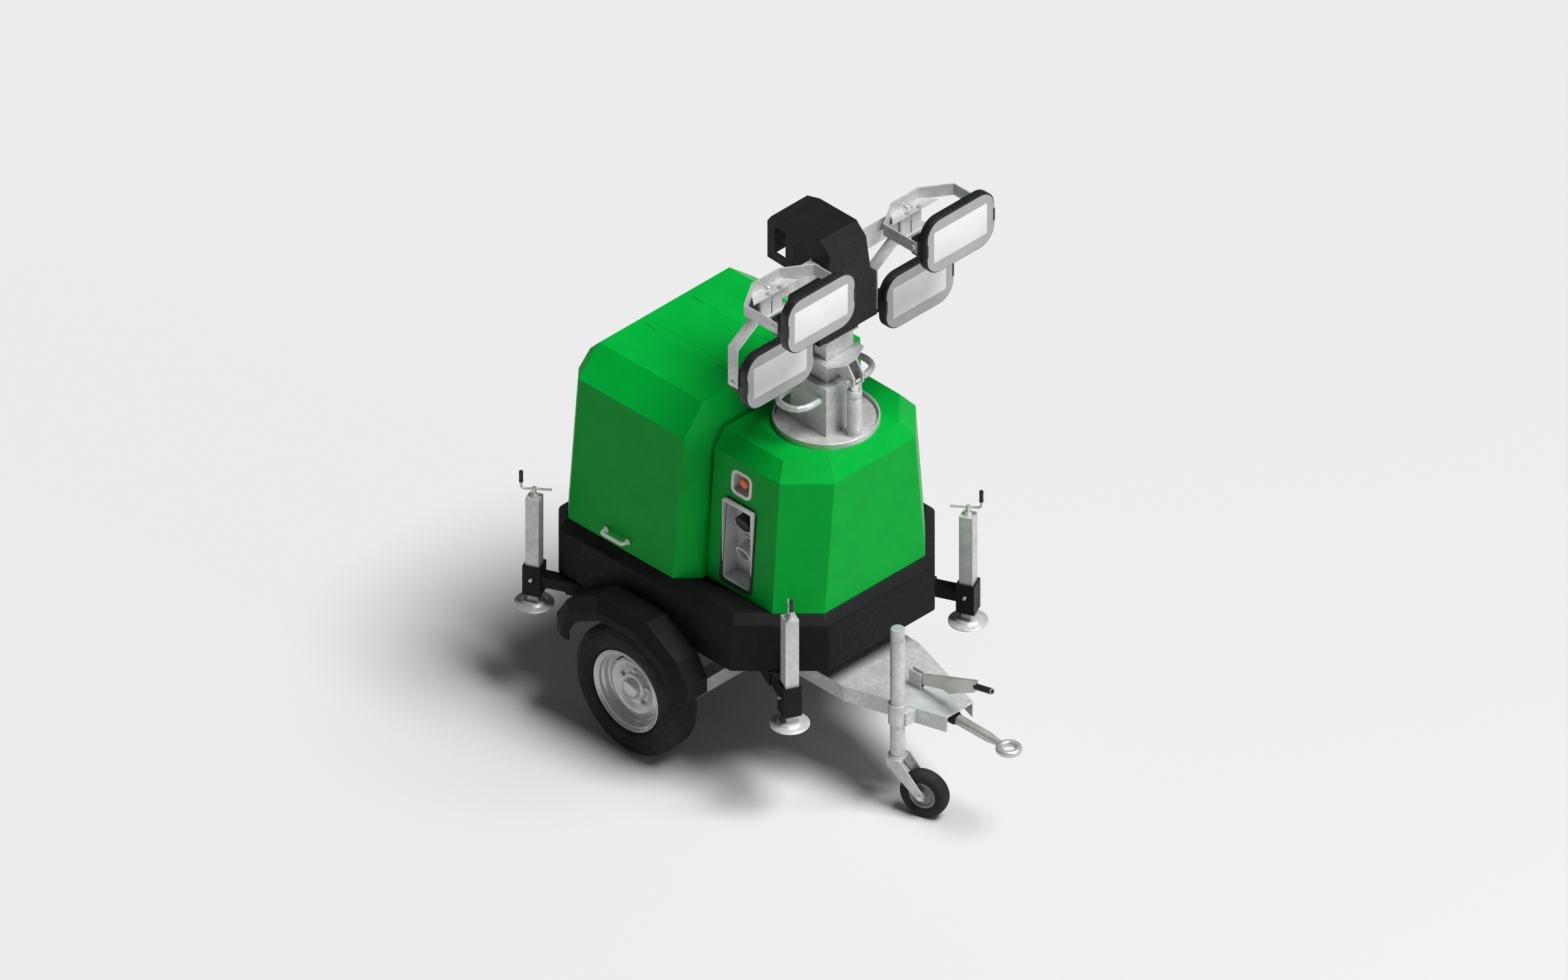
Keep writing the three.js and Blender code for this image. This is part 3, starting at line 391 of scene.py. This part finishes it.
for corner in CORNERS:
    refine(f"outrigger_arm_{corner}", 0.003, 2)
    refine(f"jack_tube_{corner}", 0.003, 2)


# ---------------------------------------------------------------- seals along the roof seams
def upper_hull(points):
    """The convex outline of (x, z) points, seen from above, from rear to front."""
    chain = []
    for p in sorted(points):
        while len(chain) > 1 and ((chain[-1][0] - chain[-2][0]) * (p[1] - chain[-2][1])
                                  >= (chain[-1][1] - chain[-2][1]) * (p[0] - chain[-2][0])):
            chain.pop()
        chain.append(p)
    return chain


BEAD = 0.0035  # radius of the seal
SEAM = 0.1155  # half the width of the fixed roof strip, less part of the bead
SEAM_REACH = 0.003  # points of the strip this near to SEAM are on its edge
ROOF_FLOOR = 1.5  # the roof and its slopes lie above this height
strip = frame["nodes"]["canopy_strip"]
door_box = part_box("door_right")
seam_points = [p for p in (strip.matrix_world @ v.co for v in strip.data.vertices)
               if abs(abs(p.y) - SEAM) < SEAM_REACH and p.x > door_box[0].x]
outline = upper_hull({(round(p.x, 4), round(p.z, 4)) for p in seam_points if p.z > ROOF_FLOOR})
for side, y in (("right", -SEAM), ("left", SEAM)):
    roof = outline[0][1]
    line = [Vector((door_box[0].x + 0.004, y, roof))] + [Vector((x, y, z)) for x, z in outline]
    place(sweep(f"seal_{side}", line, BEAD, 8), "chassis", seal_mat, "canopy_plastic")


# ---------------------------------------------------------------- engine bay
def bay(x, y, z):
    """A point of the engine bay in mm, on the engine's centre line."""
    return Vector((x, y, z)) / 1000


UP = (Vector((1, 0, 0)), Vector((0, 1, 0)), Vector((0, 0, 1)))
rocker = [plate("cover", rounded(236, 118, 22), 0, 26, (bay(-495, -48, 1120), *UP), 0.005),
          plate("rim", rounded(256, 138, 26), 0, 6, (bay(-495, -48, 1120), *UP), 0.001),
          lathe("cap", [(0, 22), (16, 22), (19, 18), (19, 0), (0, 0)], bay(-420, -48, 1146), "Z", 28)]
place(merge("rocker_cover", rocker), "chassis", mats["radiator_aluminium"], "engine_iron")
bolts("rocker_bolts", "chassis", [(bay(x, y, 1126), Vector((0, 0, 1))) for x in (-610, -535, -455, -380)
                                  for y in (-112, 16)], 5, 5)
canister = [(0, 0), (24, 0), (29, 4), (29, 30), (31, 32), (31, 36), (29, 38), (29, 168), (31, 170),
            (31, 178), (26, 186), (0, 186)]
place(lathe("air_filter", canister, bay(-610, 96, 1153), "X", 40), "chassis", mats["tank_plastic"],
      "engine_iron")
silencer = [(0, 0), (11, 0), (12, 24), (30, 34), (32, 40), (32, 96), (33, 98), (33, 104), (32, 106),
            (32, 196), (30, 202), (12, 212), (11, 236), (0, 236)]
place(lathe("silencer", silencer, bay(-625, -192, 1052), "X", 40), "chassis", mats["zinc_hardware"],
      "engine_iron")
manifold = []
for x in (-570, -500, -430):
    manifold.append(sweep("pipe", smooth_path([bay(x, -149, 1078), bay(x, -166, 1078), bay(x, -178, 1064),
                                               bay(x, -184, 1052)]), 0.0115))
place(merge("manifold", manifold), "chassis", mats["zinc_hardware"], "engine_iron")
hoses = [([(-681, 70, 1130), (-664, 70, 1134), (-648, 52, 1140), (-634, 34, 1128), (-628, 30, 1112)], 15),
         ([(-681, -120, 720), (-664, -122, 716), (-656, -140, 740), (-650, -148, 780), (-640, -150, 800)],
          15),
         ([(-424, 96, 1153), (-398, 96, 1150), (-380, 84, 1136), (-374, 66, 1119)], 17)]
for k, (points, radius) in enumerate(hoses):
    place(sweep(f"hose_{k}", smooth_path([bay(*p) for p in points]), radius / 1000, 20), "chassis",
          grip_mat, "engine_iron")
FRONT = (Vector((0, 1, 0)), Vector((0, 0, 1)), Vector((1, 0, 0)))
shroud = [frame_ring("shroud", rounded(440, 440, 40), rounded(392, 392, 190, 16), 0, 7,
                     (bay(-679, 0, 930), *FRONT))]
for k in range(7):
    turn = 2 * math.pi * k / 7
    across = (bay(-670, 0, 930), Vector((0, math.cos(turn), math.sin(turn))),
              Vector((-0.5, -0.87 * math.sin(turn), 0.87 * math.cos(turn))),
              Vector((0.87, -0.5 * math.sin(turn), 0.5 * math.cos(turn))))
    shroud.append(plate("blade", [(34, -14), (175, -30), (182, 26), (34, 16)], -1, 1, across))
shroud.append(lathe("fan_hub", [(0, 16), (34, 16), (40, 10), (40, 0), (0, 0)], bay(-678, 0, 930), "X", 32))
place(merge("fan", shroud), "chassis", mats["tank_plastic"], "radiator_aluminium")
filler = [(0, 34), (30, 34), (34, 30), (34, 12), (28, 10), (28, 0), (0, 0)]
place(lathe("filler_cap", filler, bay(-810, -262, 929), "Z", 36), "chassis", dark_mat, "tank_plastic")
PANEL = (Vector((-1, 0, 0)), Vector((0, 0, 1)), Vector((0, 1, 0)))
face = bay(-459, 400, 1120)
panel = [frame_ring("panel_frame", rounded(196, 320, 10), rounded(180, 304, 6), -1, 5, (face, *PANEL))]
for row, z in enumerate((1216, 1170)):
    for k in range(3):
        dial = [(0, 4), (14, 4), (16, 8), (18, 8), (19, 0), (0, 0)]
        panel.append(lathe("dial", dial, bay(-514 + 55 * k, 399.5, z), "Y", 28))
for k in range(5):
    panel.append(plate("switch", rounded(16, 30, 3), 0, 9, (bay(-519 + 30 * k, 399.5, 1090), *PANEL), 0.001))
place(merge("panel_controls", panel), "chassis", dark_mat, "control_grey")
screen = plate("screen", rounded(96, 52, 6), -1, 3, (bay(-459, 399.5, 1030), *PANEL), 0.001)
place(screen, "chassis", hub_mat, "control_grey")


# ---------------------------------------------------------------- road wheels
def road_wheel(side):
    s = -1 if side == "right" else 1
    lo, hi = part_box(f"tyre_{side}")
    c = (lo + hi) / 2
    body = f"wheel_{side}"
    out = Vector((0, s, 0))
    half = 77.5
    flank = [(190, 58), (196, 68), (206, 74), (222, 76.5), (240, half), (256, 76), (270, 72), (284, 66),
             (294, 57), (298, 50)]
    cross = flank + [(299.5, 30), (300, 0)]
    profile = cross + [(r, -h) for r, h in cross[-2::-1]] + [(180, -58), (169, -52), (169, 52), (180, 58)]
    carcass = lathe("carcass", profile, c, "Y", 96, closed=True)
    blocks = []
    steps = 60
    for k in range(steps):
        for row, (h0, h1) in enumerate(((-56, -33), (-27, -4), (4, 27), (33, 56))):
            a = 2 * math.pi * (k + 0.5 * (row % 2)) / steps
            da = 2 * math.pi / steps * 0.36
            slant = 0.25 * da * (1 if row < 2 else -1)
            low = 296 if row in (1, 2) else 288
            high = (300, 299.5) if row in (1, 2) else ((295.5, 299.5) if row == 0 else (299.5, 295.5))
            loops = []
            for ang, off in ((a - da, -slant), (a + da, slant)):
                loop = []
                for r, h in ((low, h0), (high[0], h0), (high[1], h1), (low, h1)):
                    t = ang + off * (1 if h > (h0 + h1) / 2 else -1)
                    loop.append(c + Vector((r * math.cos(t), h, r * math.sin(t))) / 1000)
                loops.append(loop)
            blocks.append(ring_loops(f"b{k}_{row}", loops))
    for r, h in ((232, 77), (262, 74.2)):
        for way in (-1, 1):
            blocks.append(lathe("bead", [(r - 2, way * (h - 1)), (r, way * (h + 0.8)),
                                         (r + 2, way * (h - 1))], c, "Y", 96, closed=True))
    tyre = merge(f"road_tyre_{side}", [carcass] + blocks)
    place(tyre, body, mats["tyre_rubber"], "tyre_rubber", [f"tyre_{side}"])

    # Well and disc seen from outside, in steps; heights count outwards from the wheel's centre.
    def h(profile):
        return [(r, s * v) for r, v in profile]
    shell = h([(188, 66), (188, 59), (169, 57), (167.5, -57), (188, -59), (188, -66), (184, -67), (163, -60),
               (160, -20), (150, -2), (118, 2), (62, 0), (62, 8), (92, 12), (104, 22), (120, 24), (134, 16),
               (148, 10),
               (154, 14), (157, 34), (165, 42), (167, 55), (176, 60), (181, 66), (185, 68)])
    rim = lathe(f"rim_shell_{side}", shell, c, "Y", 96, closed=True)
    hub = lathe("hub", h([(21.5, 0), (62, 0), (64, 10), (58, 22), (46, 26), (43, 44), (38, 50), (24, 54),
                          (0, 54), (0, 46), (21.5, 44)]),
                c, "Y", 64)
    place(merge(f"rim_{side}_full", [rim, hub]), body, mats["rim_silver"], "rim_silver", [f"rim_{side}"])
    spots = []
    for k in range(5):
        a = 2 * math.pi * k / 5 + 0.3
        spots.append((c + Vector((78 * math.cos(a), s * 10, 78 * math.sin(a))) / 1000, out))
    bolts(f"wheel_bolts_{side}", body, spots, 10, 12)
    valve = c + Vector((136 * math.cos(2.1), s * 16, 136 * math.sin(2.1))) / 1000
    place(sweep(f"valve_{side}", [valve, valve + out * 0.022, valve + out * 0.034], 0.0045, 10,
                [1, 0.8, 0.6]),
          body, grip_mat, "tyre_rubber")


for side in ("right", "left"):
    road_wheel(side)

# ---------------------------------------------------------------- jockey wheel
lo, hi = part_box("jockey_stem")
stem_c = Vector(((lo.x + hi.x) / 2, (lo.y + hi.y) / 2, 0))
z0, z1 = lo.z * 1000, hi.z * 1000
stem = lathe("jockey_tube", [(0, z0), (29, z0), (31, z0 + 2), (31, z1 - 60), (29.6, z1 - 58),
                             (29.6, z1 - 54), (31, z1 - 52),
                             (31, z1 - 6), (28, z1 - 1), (24, z1), (0, z1)], stem_c, "Z", 48)
place(stem, "jockey_stem", mats["jack_galvanised"], "jack_galvanised", ["jockey_stem"])
joint = next(j for j in frame["joints"] if j["name"] == "jockey_roll")
axle = Vector(joint["axis"]).normalized()
hub_c = Vector(joint["pos_m"])
tyre_profile = [(62, -26), (70, -30), (84, -34), (96, -32), (104, -24), (107.5, -12), (108, 0)]
tyre_profile += [(r, -v) for r, v in tyre_profile[-2::-1]] + [(56, 22), (56, -22)]
jockey_tyre = lathe("jockey_tyre", tyre_profile, hub_c, axle, 64, closed=True)
place(jockey_tyre, "jockey_wheel", mats["jockey_rubber"], "jockey_rubber", ["jockey_wheel"])
hub_profile = [(10, -36), (22, -36), (24, -24), (44, -20), (52, -27), (61, -27), (61, -22), (55, -21)]
hub_profile += [(r, -v) for r, v in hub_profile[::-1]]
place(lathe("jockey_hub", hub_profile, hub_c, axle, 56, closed=True), "jockey_wheel", hub_mat,
      "jockey_rubber")
bolts("jockey_axle_nuts", "jockey_fork", [(hub_c + axle * 0.0505, axle), (hub_c - axle * 0.0505, -axle)], 9,
      6)

# ---------------------------------------------------------------- towing eye and handbrake
lo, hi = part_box("tow_eye")
eye = Vector((hi.x - 0.056, 0, (lo.z + hi.z) / 2))
ring = ring_loops("ring", [[eye + Vector((math.cos(a) * (40.5 + 15.5 * math.cos(b)),
                                          math.sin(a) * (40.5 + 15.5 * math.cos(b)),
                                           15.5 * math.sin(b))) / 1000
                            for b in (2 * math.pi * j / 20 for j in range(20))]
                           for a in (2 * math.pi * k / 56 for k in range(56))], closed_along=True)
shank_pts = [Vector((lo.x, 0, eye.z)), Vector((eye.x - 0.118, 0, eye.z)), Vector((eye.x - 0.110, 0, eye.z)),
             Vector((eye.x - 0.085, 0, eye.z)), Vector((eye.x - 0.060, 0, eye.z)),
             Vector((eye.x - 0.036, 0, eye.z))]
shank = sweep("shank", shank_pts, 0.0225, 32, [1, 1, 0.96, 0.8, 0.66, 0.6])
place(merge("towing_rod_and_eye", [ring, shank]), "towing_rod", mats["zinc_hardware"], "zinc_hardware",
      ["tow_eye"])
grip = sweep("handbrake_grip", [T(1246, 0, 652.5), T(1262, 0, 656.4), T(1300, 0, 665.3), T(1338, 0, 674.4),
                                T(1347, 0, 676.5)],
             0.0132, 20, [0.98, 1.06, 1, 1.06, 0.7])
place(grip, "handbrake", grip_mat, "zinc_hardware")
bellows = [(23, 0)]
for k in range(9):
    bellows += [(34 - k * 0.5, 4 + 11 * k), (27 - k * 0.3, 9.5 + 11 * k)]
bellows += [(24, 102), (24, 110), (23, 110)]
boot = lathe("overrun_boot", bellows, T(1040, 0, 436), "X", 40, closed=True)
place(boot, "chassis", seal_mat, "tray_plastic")

# ---------------------------------------------------------------- jacks
for corner in CORNERS:
    lo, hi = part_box(f"jack_leg_{corner}")
    c = Vector(((lo.x + hi.x) / 2, (lo.y + hi.y) / 2, 0))
    arm = next(j for j in frame["joints"] if j["name"] == f"arm_{corner}_slide")
    out = Vector(arm["axis"]).normalized()
    side = Vector((-out.y, out.x, 0))
    base = lo.z * 1000
    pad = lathe("pad", [(0, base), (84, base), (84, base + 4), (80, base + 6.5), (58, base + 9),
                        (54, base + 11), (50, base + 18),
                        (46, base + 20), (0, base + 20)], c, "Z", 56)
    square = plate("inner", rounded(48, 48, 6, 3), base + 18, hi.z * 1000,
                   (c, out, side, Vector((0, 0, 1))), 0.001)
    place(merge(f"leg_and_pad_{corner}", [pad, square]), f"leg_{corner}", mats["jack_galvanised"],
          "jack_galvanised",
          [f"jack_leg_{corner}"])
    _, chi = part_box(f"jack_crank_{corner}")
    _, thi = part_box(f"jack_tube_{corner}")
    grip_way = Vector((0, 0, 0))
    verts = [v.co for v in frame["nodes"][f"jack_crank_{corner}"].data.vertices if v.co.z > chi.z - 0.02]
    for v in verts:
        grip_way += (v - c) / len(verts)
    way = Vector((grip_way.x, grip_way.y, 0)).normalized()
    bar_z = 1.018
    points = [c + way * r + Vector((0, 0, z)) for r,
              z in ((-0.074, bar_z), (-0.05, bar_z), (0, bar_z), (0.036, bar_z),
              (0.05, bar_z + 0.003), (0.055, bar_z + 0.013), (0.055, bar_z + 0.04), (0.055, bar_z + 0.084))]
    bar = sweep("bar", smooth_path(points, 4), 0.0055, 12)
    screw = sweep("screw", [c + Vector((0, 0, z)) for z in (thi.z - 0.09, thi.z + 0.001, bar_z + 0.008)],
                  0.009, 16)
    boss = lathe("boss", [(9.4, 0), (17, 0), (17, 8), (12, 14), (9.4, 14)], c
                 + Vector((0, 0, thi.z + 0.0005)), "Z", 24, closed=True)
    place(merge(f"crank_{corner}_bar", [bar, screw, boss]), f"crank_{corner}", mats["zinc_hardware"],
          "zinc_hardware",
          [f"jack_crank_{corner}"])
    foot = c + way * 0.055
    grip = lathe(f"crank_grip_{corner}", [(6, 1050), (9, 1050), (9.5, 1054), (8.4, 1070), (8.8, 1086),
                                          (9.5, 1098), (8, 1103.5), (0, 1104)],
                 foot, "Z", 20)
    place(grip, f"crank_{corner}", grip_mat, "zinc_hardware")
    pin = c + Vector((0, 0, 0.585))
    place(merge(f"arm_pins_{corner}", [sweep("p", [pin + side * a, pin + side * b], 0.007, 12) for a,
                                       b in ((-0.052, -0.038), (0.038, 0.052))]),
          f"arm_{corner}", mats["zinc_hardware"], "zinc_hardware")

# ---------------------------------------------------------------- mast
mlo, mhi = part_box("mast_ring")
mast = Vector(((mlo.x + mhi.x) / 2, 0, 0))
band = lathe("turntable_band", [(216, mlo.z * 1000), (224, mlo.z * 1000), (224, mhi.z * 1000 - 1.5),
                                (222, mhi.z * 1000),
                                (218, mhi.z * 1000), (216, mhi.z * 1000 - 1.5)], mast, "Z", 120, closed=True)
place(band, "chassis", mats["mast_galvanised"], "mast_galvanised", ["mast_ring"])
lo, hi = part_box("ram_cylinder")
ram = Vector(((lo.x + hi.x) / 2, 0, 0))
b0, b1 = lo.z * 1000, hi.z * 1000
barrel = lathe("ram_barrel", [(0, b0), (31.5, b0), (31.5, b1 - 34), (30, b1 - 32), (31.5, b1 - 30),
                              (31.5, b1 - 3), (29, b1),
                              (20, b1), (20, b0 + 17), (0, b0 + 17)], ram, "Z", 48)
place(barrel, "mast_turntable", mats["ram_steel"], "ram_steel", ["ram_cylinder"])
lo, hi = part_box("ram_rod")
rod = sweep("rod", [ram + Vector((0, 0, z)) for z in (lo.z, hi.z - 0.042)], 0.0185, 40)
eye_end = lathe("eye", [(9, -14), (22, -14), (22, 14), (9, 14)], ram + Vector((0, 0, hi.z - 0.022)), "Y",
                40, closed=True)
place(merge("ram_rod_full", [rod, eye_end]), "mast_stage", mats["ram_chrome"], "ram_chrome", ["ram_rod"])
pin_z = hi.z - 0.022
bolts("ram_pin_heads", "mast_stage", [(ram + Vector((0, s * 0.0445, pin_z)), Vector((0, s, 0)))
                                      for s in (-1, 1)], 11, 5)
bolts("mast_pad_bolts", "mast_turntable", [(mast + Vector((s * 0.1045, t, 1.79)), Vector((s, 0, 0)))
                                           for s in (-1, 1) for t in (-0.05, 0.05)]
      + [(mast + Vector((t, s * 0.1045, 1.79)), Vector((0, s, 0))) for s in (-1, 1) for t in (-0.05, 0.05)],
      7, 4)
bolts("head_plate_bolts", "mast_head", [(mast + Vector((s * 0.082, t * 0.082, 2.0435)), Vector((0, 0, 1)))
                                        for s in (-1, 1) for t in (-1, 1)], 7, 4)


# ---------------------------------------------------------------- floodlights
LAMP_WIDTH, LAMP_HEIGHT, LAMP_CORNER = 400, 270, 84


def floodlight(name):
    lo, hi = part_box(name)
    face = Vector((hi.x, (lo.y + hi.y) / 2, (lo.z + hi.z) / 2))
    at = (face, Vector((0, 1, 0)), Vector((0, 0, 1)), Vector((1, 0, 0)))
    w, h, corner = LAMP_WIDTH, LAMP_HEIGHT, LAMP_CORNER
    parts = [plate("shell", rounded(w, h, corner, 10), -40, -3, at, 0.002),
             plate("lip", rounded(w - 6, h - 6, corner - 3, 10), -4, -0.5, at, 0.0008),
             plate("back", rounded(w - 24, h - 24, corner - 12, 10), -46, -39, at, 0.001)]
    for k in range(17):
        y = -152 + 19 * k
        reach = math.sqrt(max(0, 1 - (max(0, abs(y) - 118) / 66) ** 2)) * 34 + 74
        fin = (face + Vector((0, y / 1000, 0)), Vector((0, 0, 1)), Vector((1, 0, 0)), Vector((0, 1, 0)))
        outline = [(-reach, -45), (-reach + 8, -58), (reach - 8, -58), (reach, -45)]
        parts.append(plate(f"fin{k}", outline, -2, 2, fin))
    for k in range(5):
        y = -48 + 24 * k
        parts.append(plate(f"top{k}", rounded(16, 5, 2, 3), -30, -8,
                           (face + Vector((0, y / 1000, (h / 2 + 0.5) / 1000)),
                                                                Vector((0, 1, 0)), Vector((0, 0, 1)),
                            Vector((1, 0, 0)))))
    for s in (-1, 1):
        ear = (face + Vector((-0.066, s * 0.175, -0.003)), Vector((1, 0, 0)), Vector((0, 0, 1)),
               Vector((0, 1, 0)))
        parts.append(plate("ear", rounded(50, 84, 10, 4), -24.5, 24.5, ear, 0.0015))
        clip = (face + Vector((0, s * (w / 2000 - 0.006), 0)), Vector((0, 1, 0)), Vector((0, 0, 1)),
                Vector((1, 0, 0)))
        parts.append(plate("clip", rounded(10, 64, 3, 4), -30, 2.2, clip, 0.0008))
    place(merge(f"{name}_housing", parts), name, mats["lamp_housing"], "lamp_housing", [name])
    bezel = frame_ring(f"{name}_bezel", rounded(w - 14, h - 14, corner - 7, 10), rounded(312, 156, 6, 10),
                       -3, 1.0, at)
    place(bezel, name, bezel_mat, "lamp_housing")
    window = plate(f"{name}_window", rounded(311, 155, 5.5, 10), -4, 0.2, at, 0.0005)
    place(window, name, window_mat, "lamp_housing")
    pivot = next(j for j in frame["joints"] if j["child"] == name)
    spots = [(Vector(pivot["pos_m"]) + Vector((0, s * 0.2085, 0)), Vector((0, s, 0))) for s in (-1, 1)]
    made = []
    for point, normal in spots:
        made.append(lathe("cap", [(0, 7), (8, 6.4), (11.5, 3.5), (12.5, 0), (14, 0), (14, -1), (0, -1)],
                          point, tuple(normal), 28))
    place(merge(f"{name}_pivots", made), "mast_head", mats["zinc_hardware"], "zinc_hardware")


for tier in ("upper", "lower"):
    for side in ("right", "left"):
        floodlight(f"lamp_{tier}_{side}")
for side, s in (("right", -1), ("left", 1)):
    spots = [(T(478, s * 407 + t, 2474.2), Vector((0, 0, 1))) for t in (-34, 34)]
    bolts(f"bracket_bolts_{side}", "mast_head", spots, 9, 6)
    top = lathe(f"bracket_knob_{side}", [(0, 9), (10, 8), (15, 4), (16, 0), (24, 0), (24, -1.5), (0, -1.5)],
                T(443, s * 407, 2474.5), "Z", 32)
    place(top, "mast_head", mats["zinc_hardware"], "zinc_hardware")
    cap = plate(f"bar_end_cap_{side}", rounded(56, 56, 5, 4), -3, 3,
                (T(423, s * 470.5, 2414), Vector((1, 0, 0)), Vector((0, 0, 1)), Vector((0, 1, 0))), 0.0012)
    place(cap, "mast_head", grip_mat, "hood_black")

# ---------------------------------------------------------------- outlet recess and stop button
LEAN = math.atan((446.7 - 398.6) / (1501 - 873))


def cowl_y(z):
    return -(446.7 - (z - 873) * math.tan(LEAN))


def cowl_basis(x, z):
    normal = Vector((0, -math.cos(LEAN), math.sin(LEAN)))
    return (T(x, cowl_y(z), z), Vector((1, 0, 0)), Vector((0, math.sin(LEAN), math.cos(LEAN))), normal)


# The dark ring of outlet_recess_shade is painted shade of the recess that the socket panel sits in; the stop frame
# is the white of its label.
for name, x, z, w, h, r, border, mat in (("outlet_recess_shade", 290, 1102.5, 170, 395, 22, 11, dark_mat),
                                         ("stop_frame", 288, 1395, 100, 100, 24, 9, white_mat)):
    outer = rounded(w + 2 * border, h + 2 * border, r + border, 8)
    inner = rounded(w - 10, h - 10, r - 2, 8)
    place(frame_ring(name, outer, inner, -1.5, 2.5, cowl_basis(x, z)), "chassis", mat, "socket_white")
lo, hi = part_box("emergency_stop")
c = (lo + hi) / 2
button = lathe("stop_head", [(0, 0), (12, 0.6), (20, 2.6), (25, 7), (26, 11), (25, 16), (17, 18), (14, 24),
                             (14, 64), (0, 64)],
               Vector((c.x, lo.y, c.z)), "Y", 48)
place(button, "stop_button", mats["stop_orange"], "stop_orange", ["emergency_stop"])


def outlet(name, x, z, mat, flap):
    back = cowl_y(1300) / 1 + 62
    base = T(x, back, z)
    basis = (base, Vector((1, 0, 0)), Vector((0, 0, 1)), Vector((0, -1, 0)))
    made = [plate("flange", rounded(92, 96, 10, 4), 0.4, 6, basis, 0.001)]
    way = Vector((0, -math.cos(0.35), -math.sin(0.35)))
    tube = [(26, 0), (36, 0), (37, 30), (40, 33), (40, 48), (37, 50), (31, 50), (30, 14), (26, 12)]
    made.append(lathe("tube", tube, base + Vector((0, -0.004, 0.004)), tuple(way), 40, closed=True))
    place(merge(name, made), "chassis", mat, "socket_white")
    made = [lathe("core", [(0, 2), (29, 2), (29, 16), (0, 16)], base + Vector((0, -0.004, 0.004)),
                  tuple(way), 32)]
    place(merge(f"{name}_core", made), "chassis", dark_mat, "socket_white")
    if flap:
        lid = lathe(f"{name}_lid", [(0, 60), (20, 59), (34, 56), (41, 51), (42, 46), (0, 46)], base
                    + Vector((0, -0.004, 0.004)), tuple(way), 40)
        place(lid, "chassis", mat, "socket_white")


outlet("outlet_large", 290, 1207, grip_mat, True)
outlet("outlet_small", 290, 1056, mats["handle_white"], False)

# ---------------------------------------------------------------- door furniture
for side, s in (("right", -1), ("left", 1)):
    body = f"door_{side}"
    lo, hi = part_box(f"door_handle_{side}")
    inner = lo.y if s > 0 else hi.y
    outer = hi.y if s > 0 else lo.y
    z = (lo.z + hi.z) / 2
    y_bar = outer - s * 0.008
    route = [Vector((lo.x + 0.012, inner, z)), Vector((lo.x + 0.012, inner + s * 0.012, z)),
             Vector((lo.x + 0.014, y_bar - s * 0.008, z)),
             Vector((lo.x + 0.026, y_bar, z)), Vector(((lo.x + hi.x) / 2, y_bar, z)),
             Vector((hi.x - 0.026, y_bar, z)),
             Vector((hi.x - 0.014, y_bar - s * 0.008, z)), Vector((hi.x - 0.012, inner + s * 0.012, z)),
             Vector((hi.x - 0.012, inner, z))]
    bar = sweep("bar", smooth_path(route, 5), 0.0078, 16)
    feet = [lathe("foot", [(0, -0.5), (14, -0.5), (14, 2), (10, 4), (0, 4)], Vector((x, inner, z)),
                  (0, s, 0), 24) for x in (lo.x + 0.013, hi.x - 0.013)]
    place(merge(f"grab_handle_{side}", [bar] + feet), body, mats["handle_white"], "handle_white",
          [f"door_handle_{side}"])
    for k, x in enumerate((-500, -80)):
        base = (T(x, s * 112, 1675.5), Vector((1, 0, 0)), Vector((0, s, 0)), Vector((0, 0, 1)))
        leaf = plate(f"hinge_leaf_{side}_{k}", rounded(70, 30, 4, 3), -0.5, 2.0,
                     (base[0] + Vector((0, s * 0.026, 0)), *base[1:]), 0.0005)
        place(leaf, body, mats["canopy_plastic"], "canopy_plastic")

# ---------------------------------------------------------------- stage, light and camera
FLOOR_GREY = 0.64
SKY = 0.08  # strength of the white world
FRONT_AT, FRONT_TARGET, FRONT_SIZE, FRONT_WATTS = (7.0, 1.2, 2.6), (0, 0, 1.1), 2.4, 40
SUN_STRENGTH, SUN_SPREAD, SUN_AIM = 4.3, 28, (-0.42, -0.16, -0.9)  # spread in degrees
CAMERA_SPAN, CAMERA_DISTANCE = 6.478, 9  # metres across the picture, and from the target

bpy.ops.mesh.primitive_plane_add(size=60, location=(0, 0, 0))
floor = bpy.context.object
floor.name = "studio_floor"
floor_mat = bpy.data.materials.new("studio_floor")
floor_mat.use_nodes = True
floor_mat.node_tree.nodes["Principled BSDF"].inputs["Base Color"].default_value = (*[FLOOR_GREY] * 3, 1)
floor_mat.node_tree.nodes["Principled BSDF"].inputs["Roughness"].default_value = 0.85
floor.data.materials.append(floor_mat)

world = bpy.data.worlds.new("studio")
scene.world = world
world.use_nodes = True
world.node_tree.nodes["Background"].inputs["Color"].default_value = (1, 1, 1, 1)
world.node_tree.nodes["Background"].inputs["Strength"].default_value = SKY

front = bpy.data.lights.new("front", "AREA")
front.shape = "SQUARE"
front.size = FRONT_SIZE
front.energy = FRONT_WATTS
front_object = bpy.data.objects.new("front", front)
front_object.location = FRONT_AT
front_object.rotation_euler = (Vector(FRONT_TARGET) - Vector(FRONT_AT)).to_track_quat("-Z", "Y").to_euler()
scene.collection.objects.link(front_object)
sun = bpy.data.lights.new("top", "SUN")
sun.energy = SUN_STRENGTH
sun.angle = math.radians(SUN_SPREAD)
sun_object = bpy.data.objects.new("top", sun)
sun_object.rotation_euler = Vector(SUN_AIM).to_track_quat("-Z", "Y").to_euler()
scene.collection.objects.link(sun_object)

scene.view_settings.view_transform = "Standard"
target = Vector((MID + 0.128, 0, 1.087))
camera_data = bpy.data.cameras.new("camera")
camera_data.type = "ORTHO"
camera_data.ortho_scale = CAMERA_SPAN
camera_data.clip_end = 60
camera = bpy.data.objects.new("camera", camera_data)
direction = Vector((1, -1, 1)).normalized()
camera.location = target + direction * CAMERA_DISTANCE
camera.rotation_euler = (-direction).to_track_quat("-Z", "Y").to_euler()
scene.collection.objects.link(camera)
scene.camera = camera

bpy.context.view_layer.update()
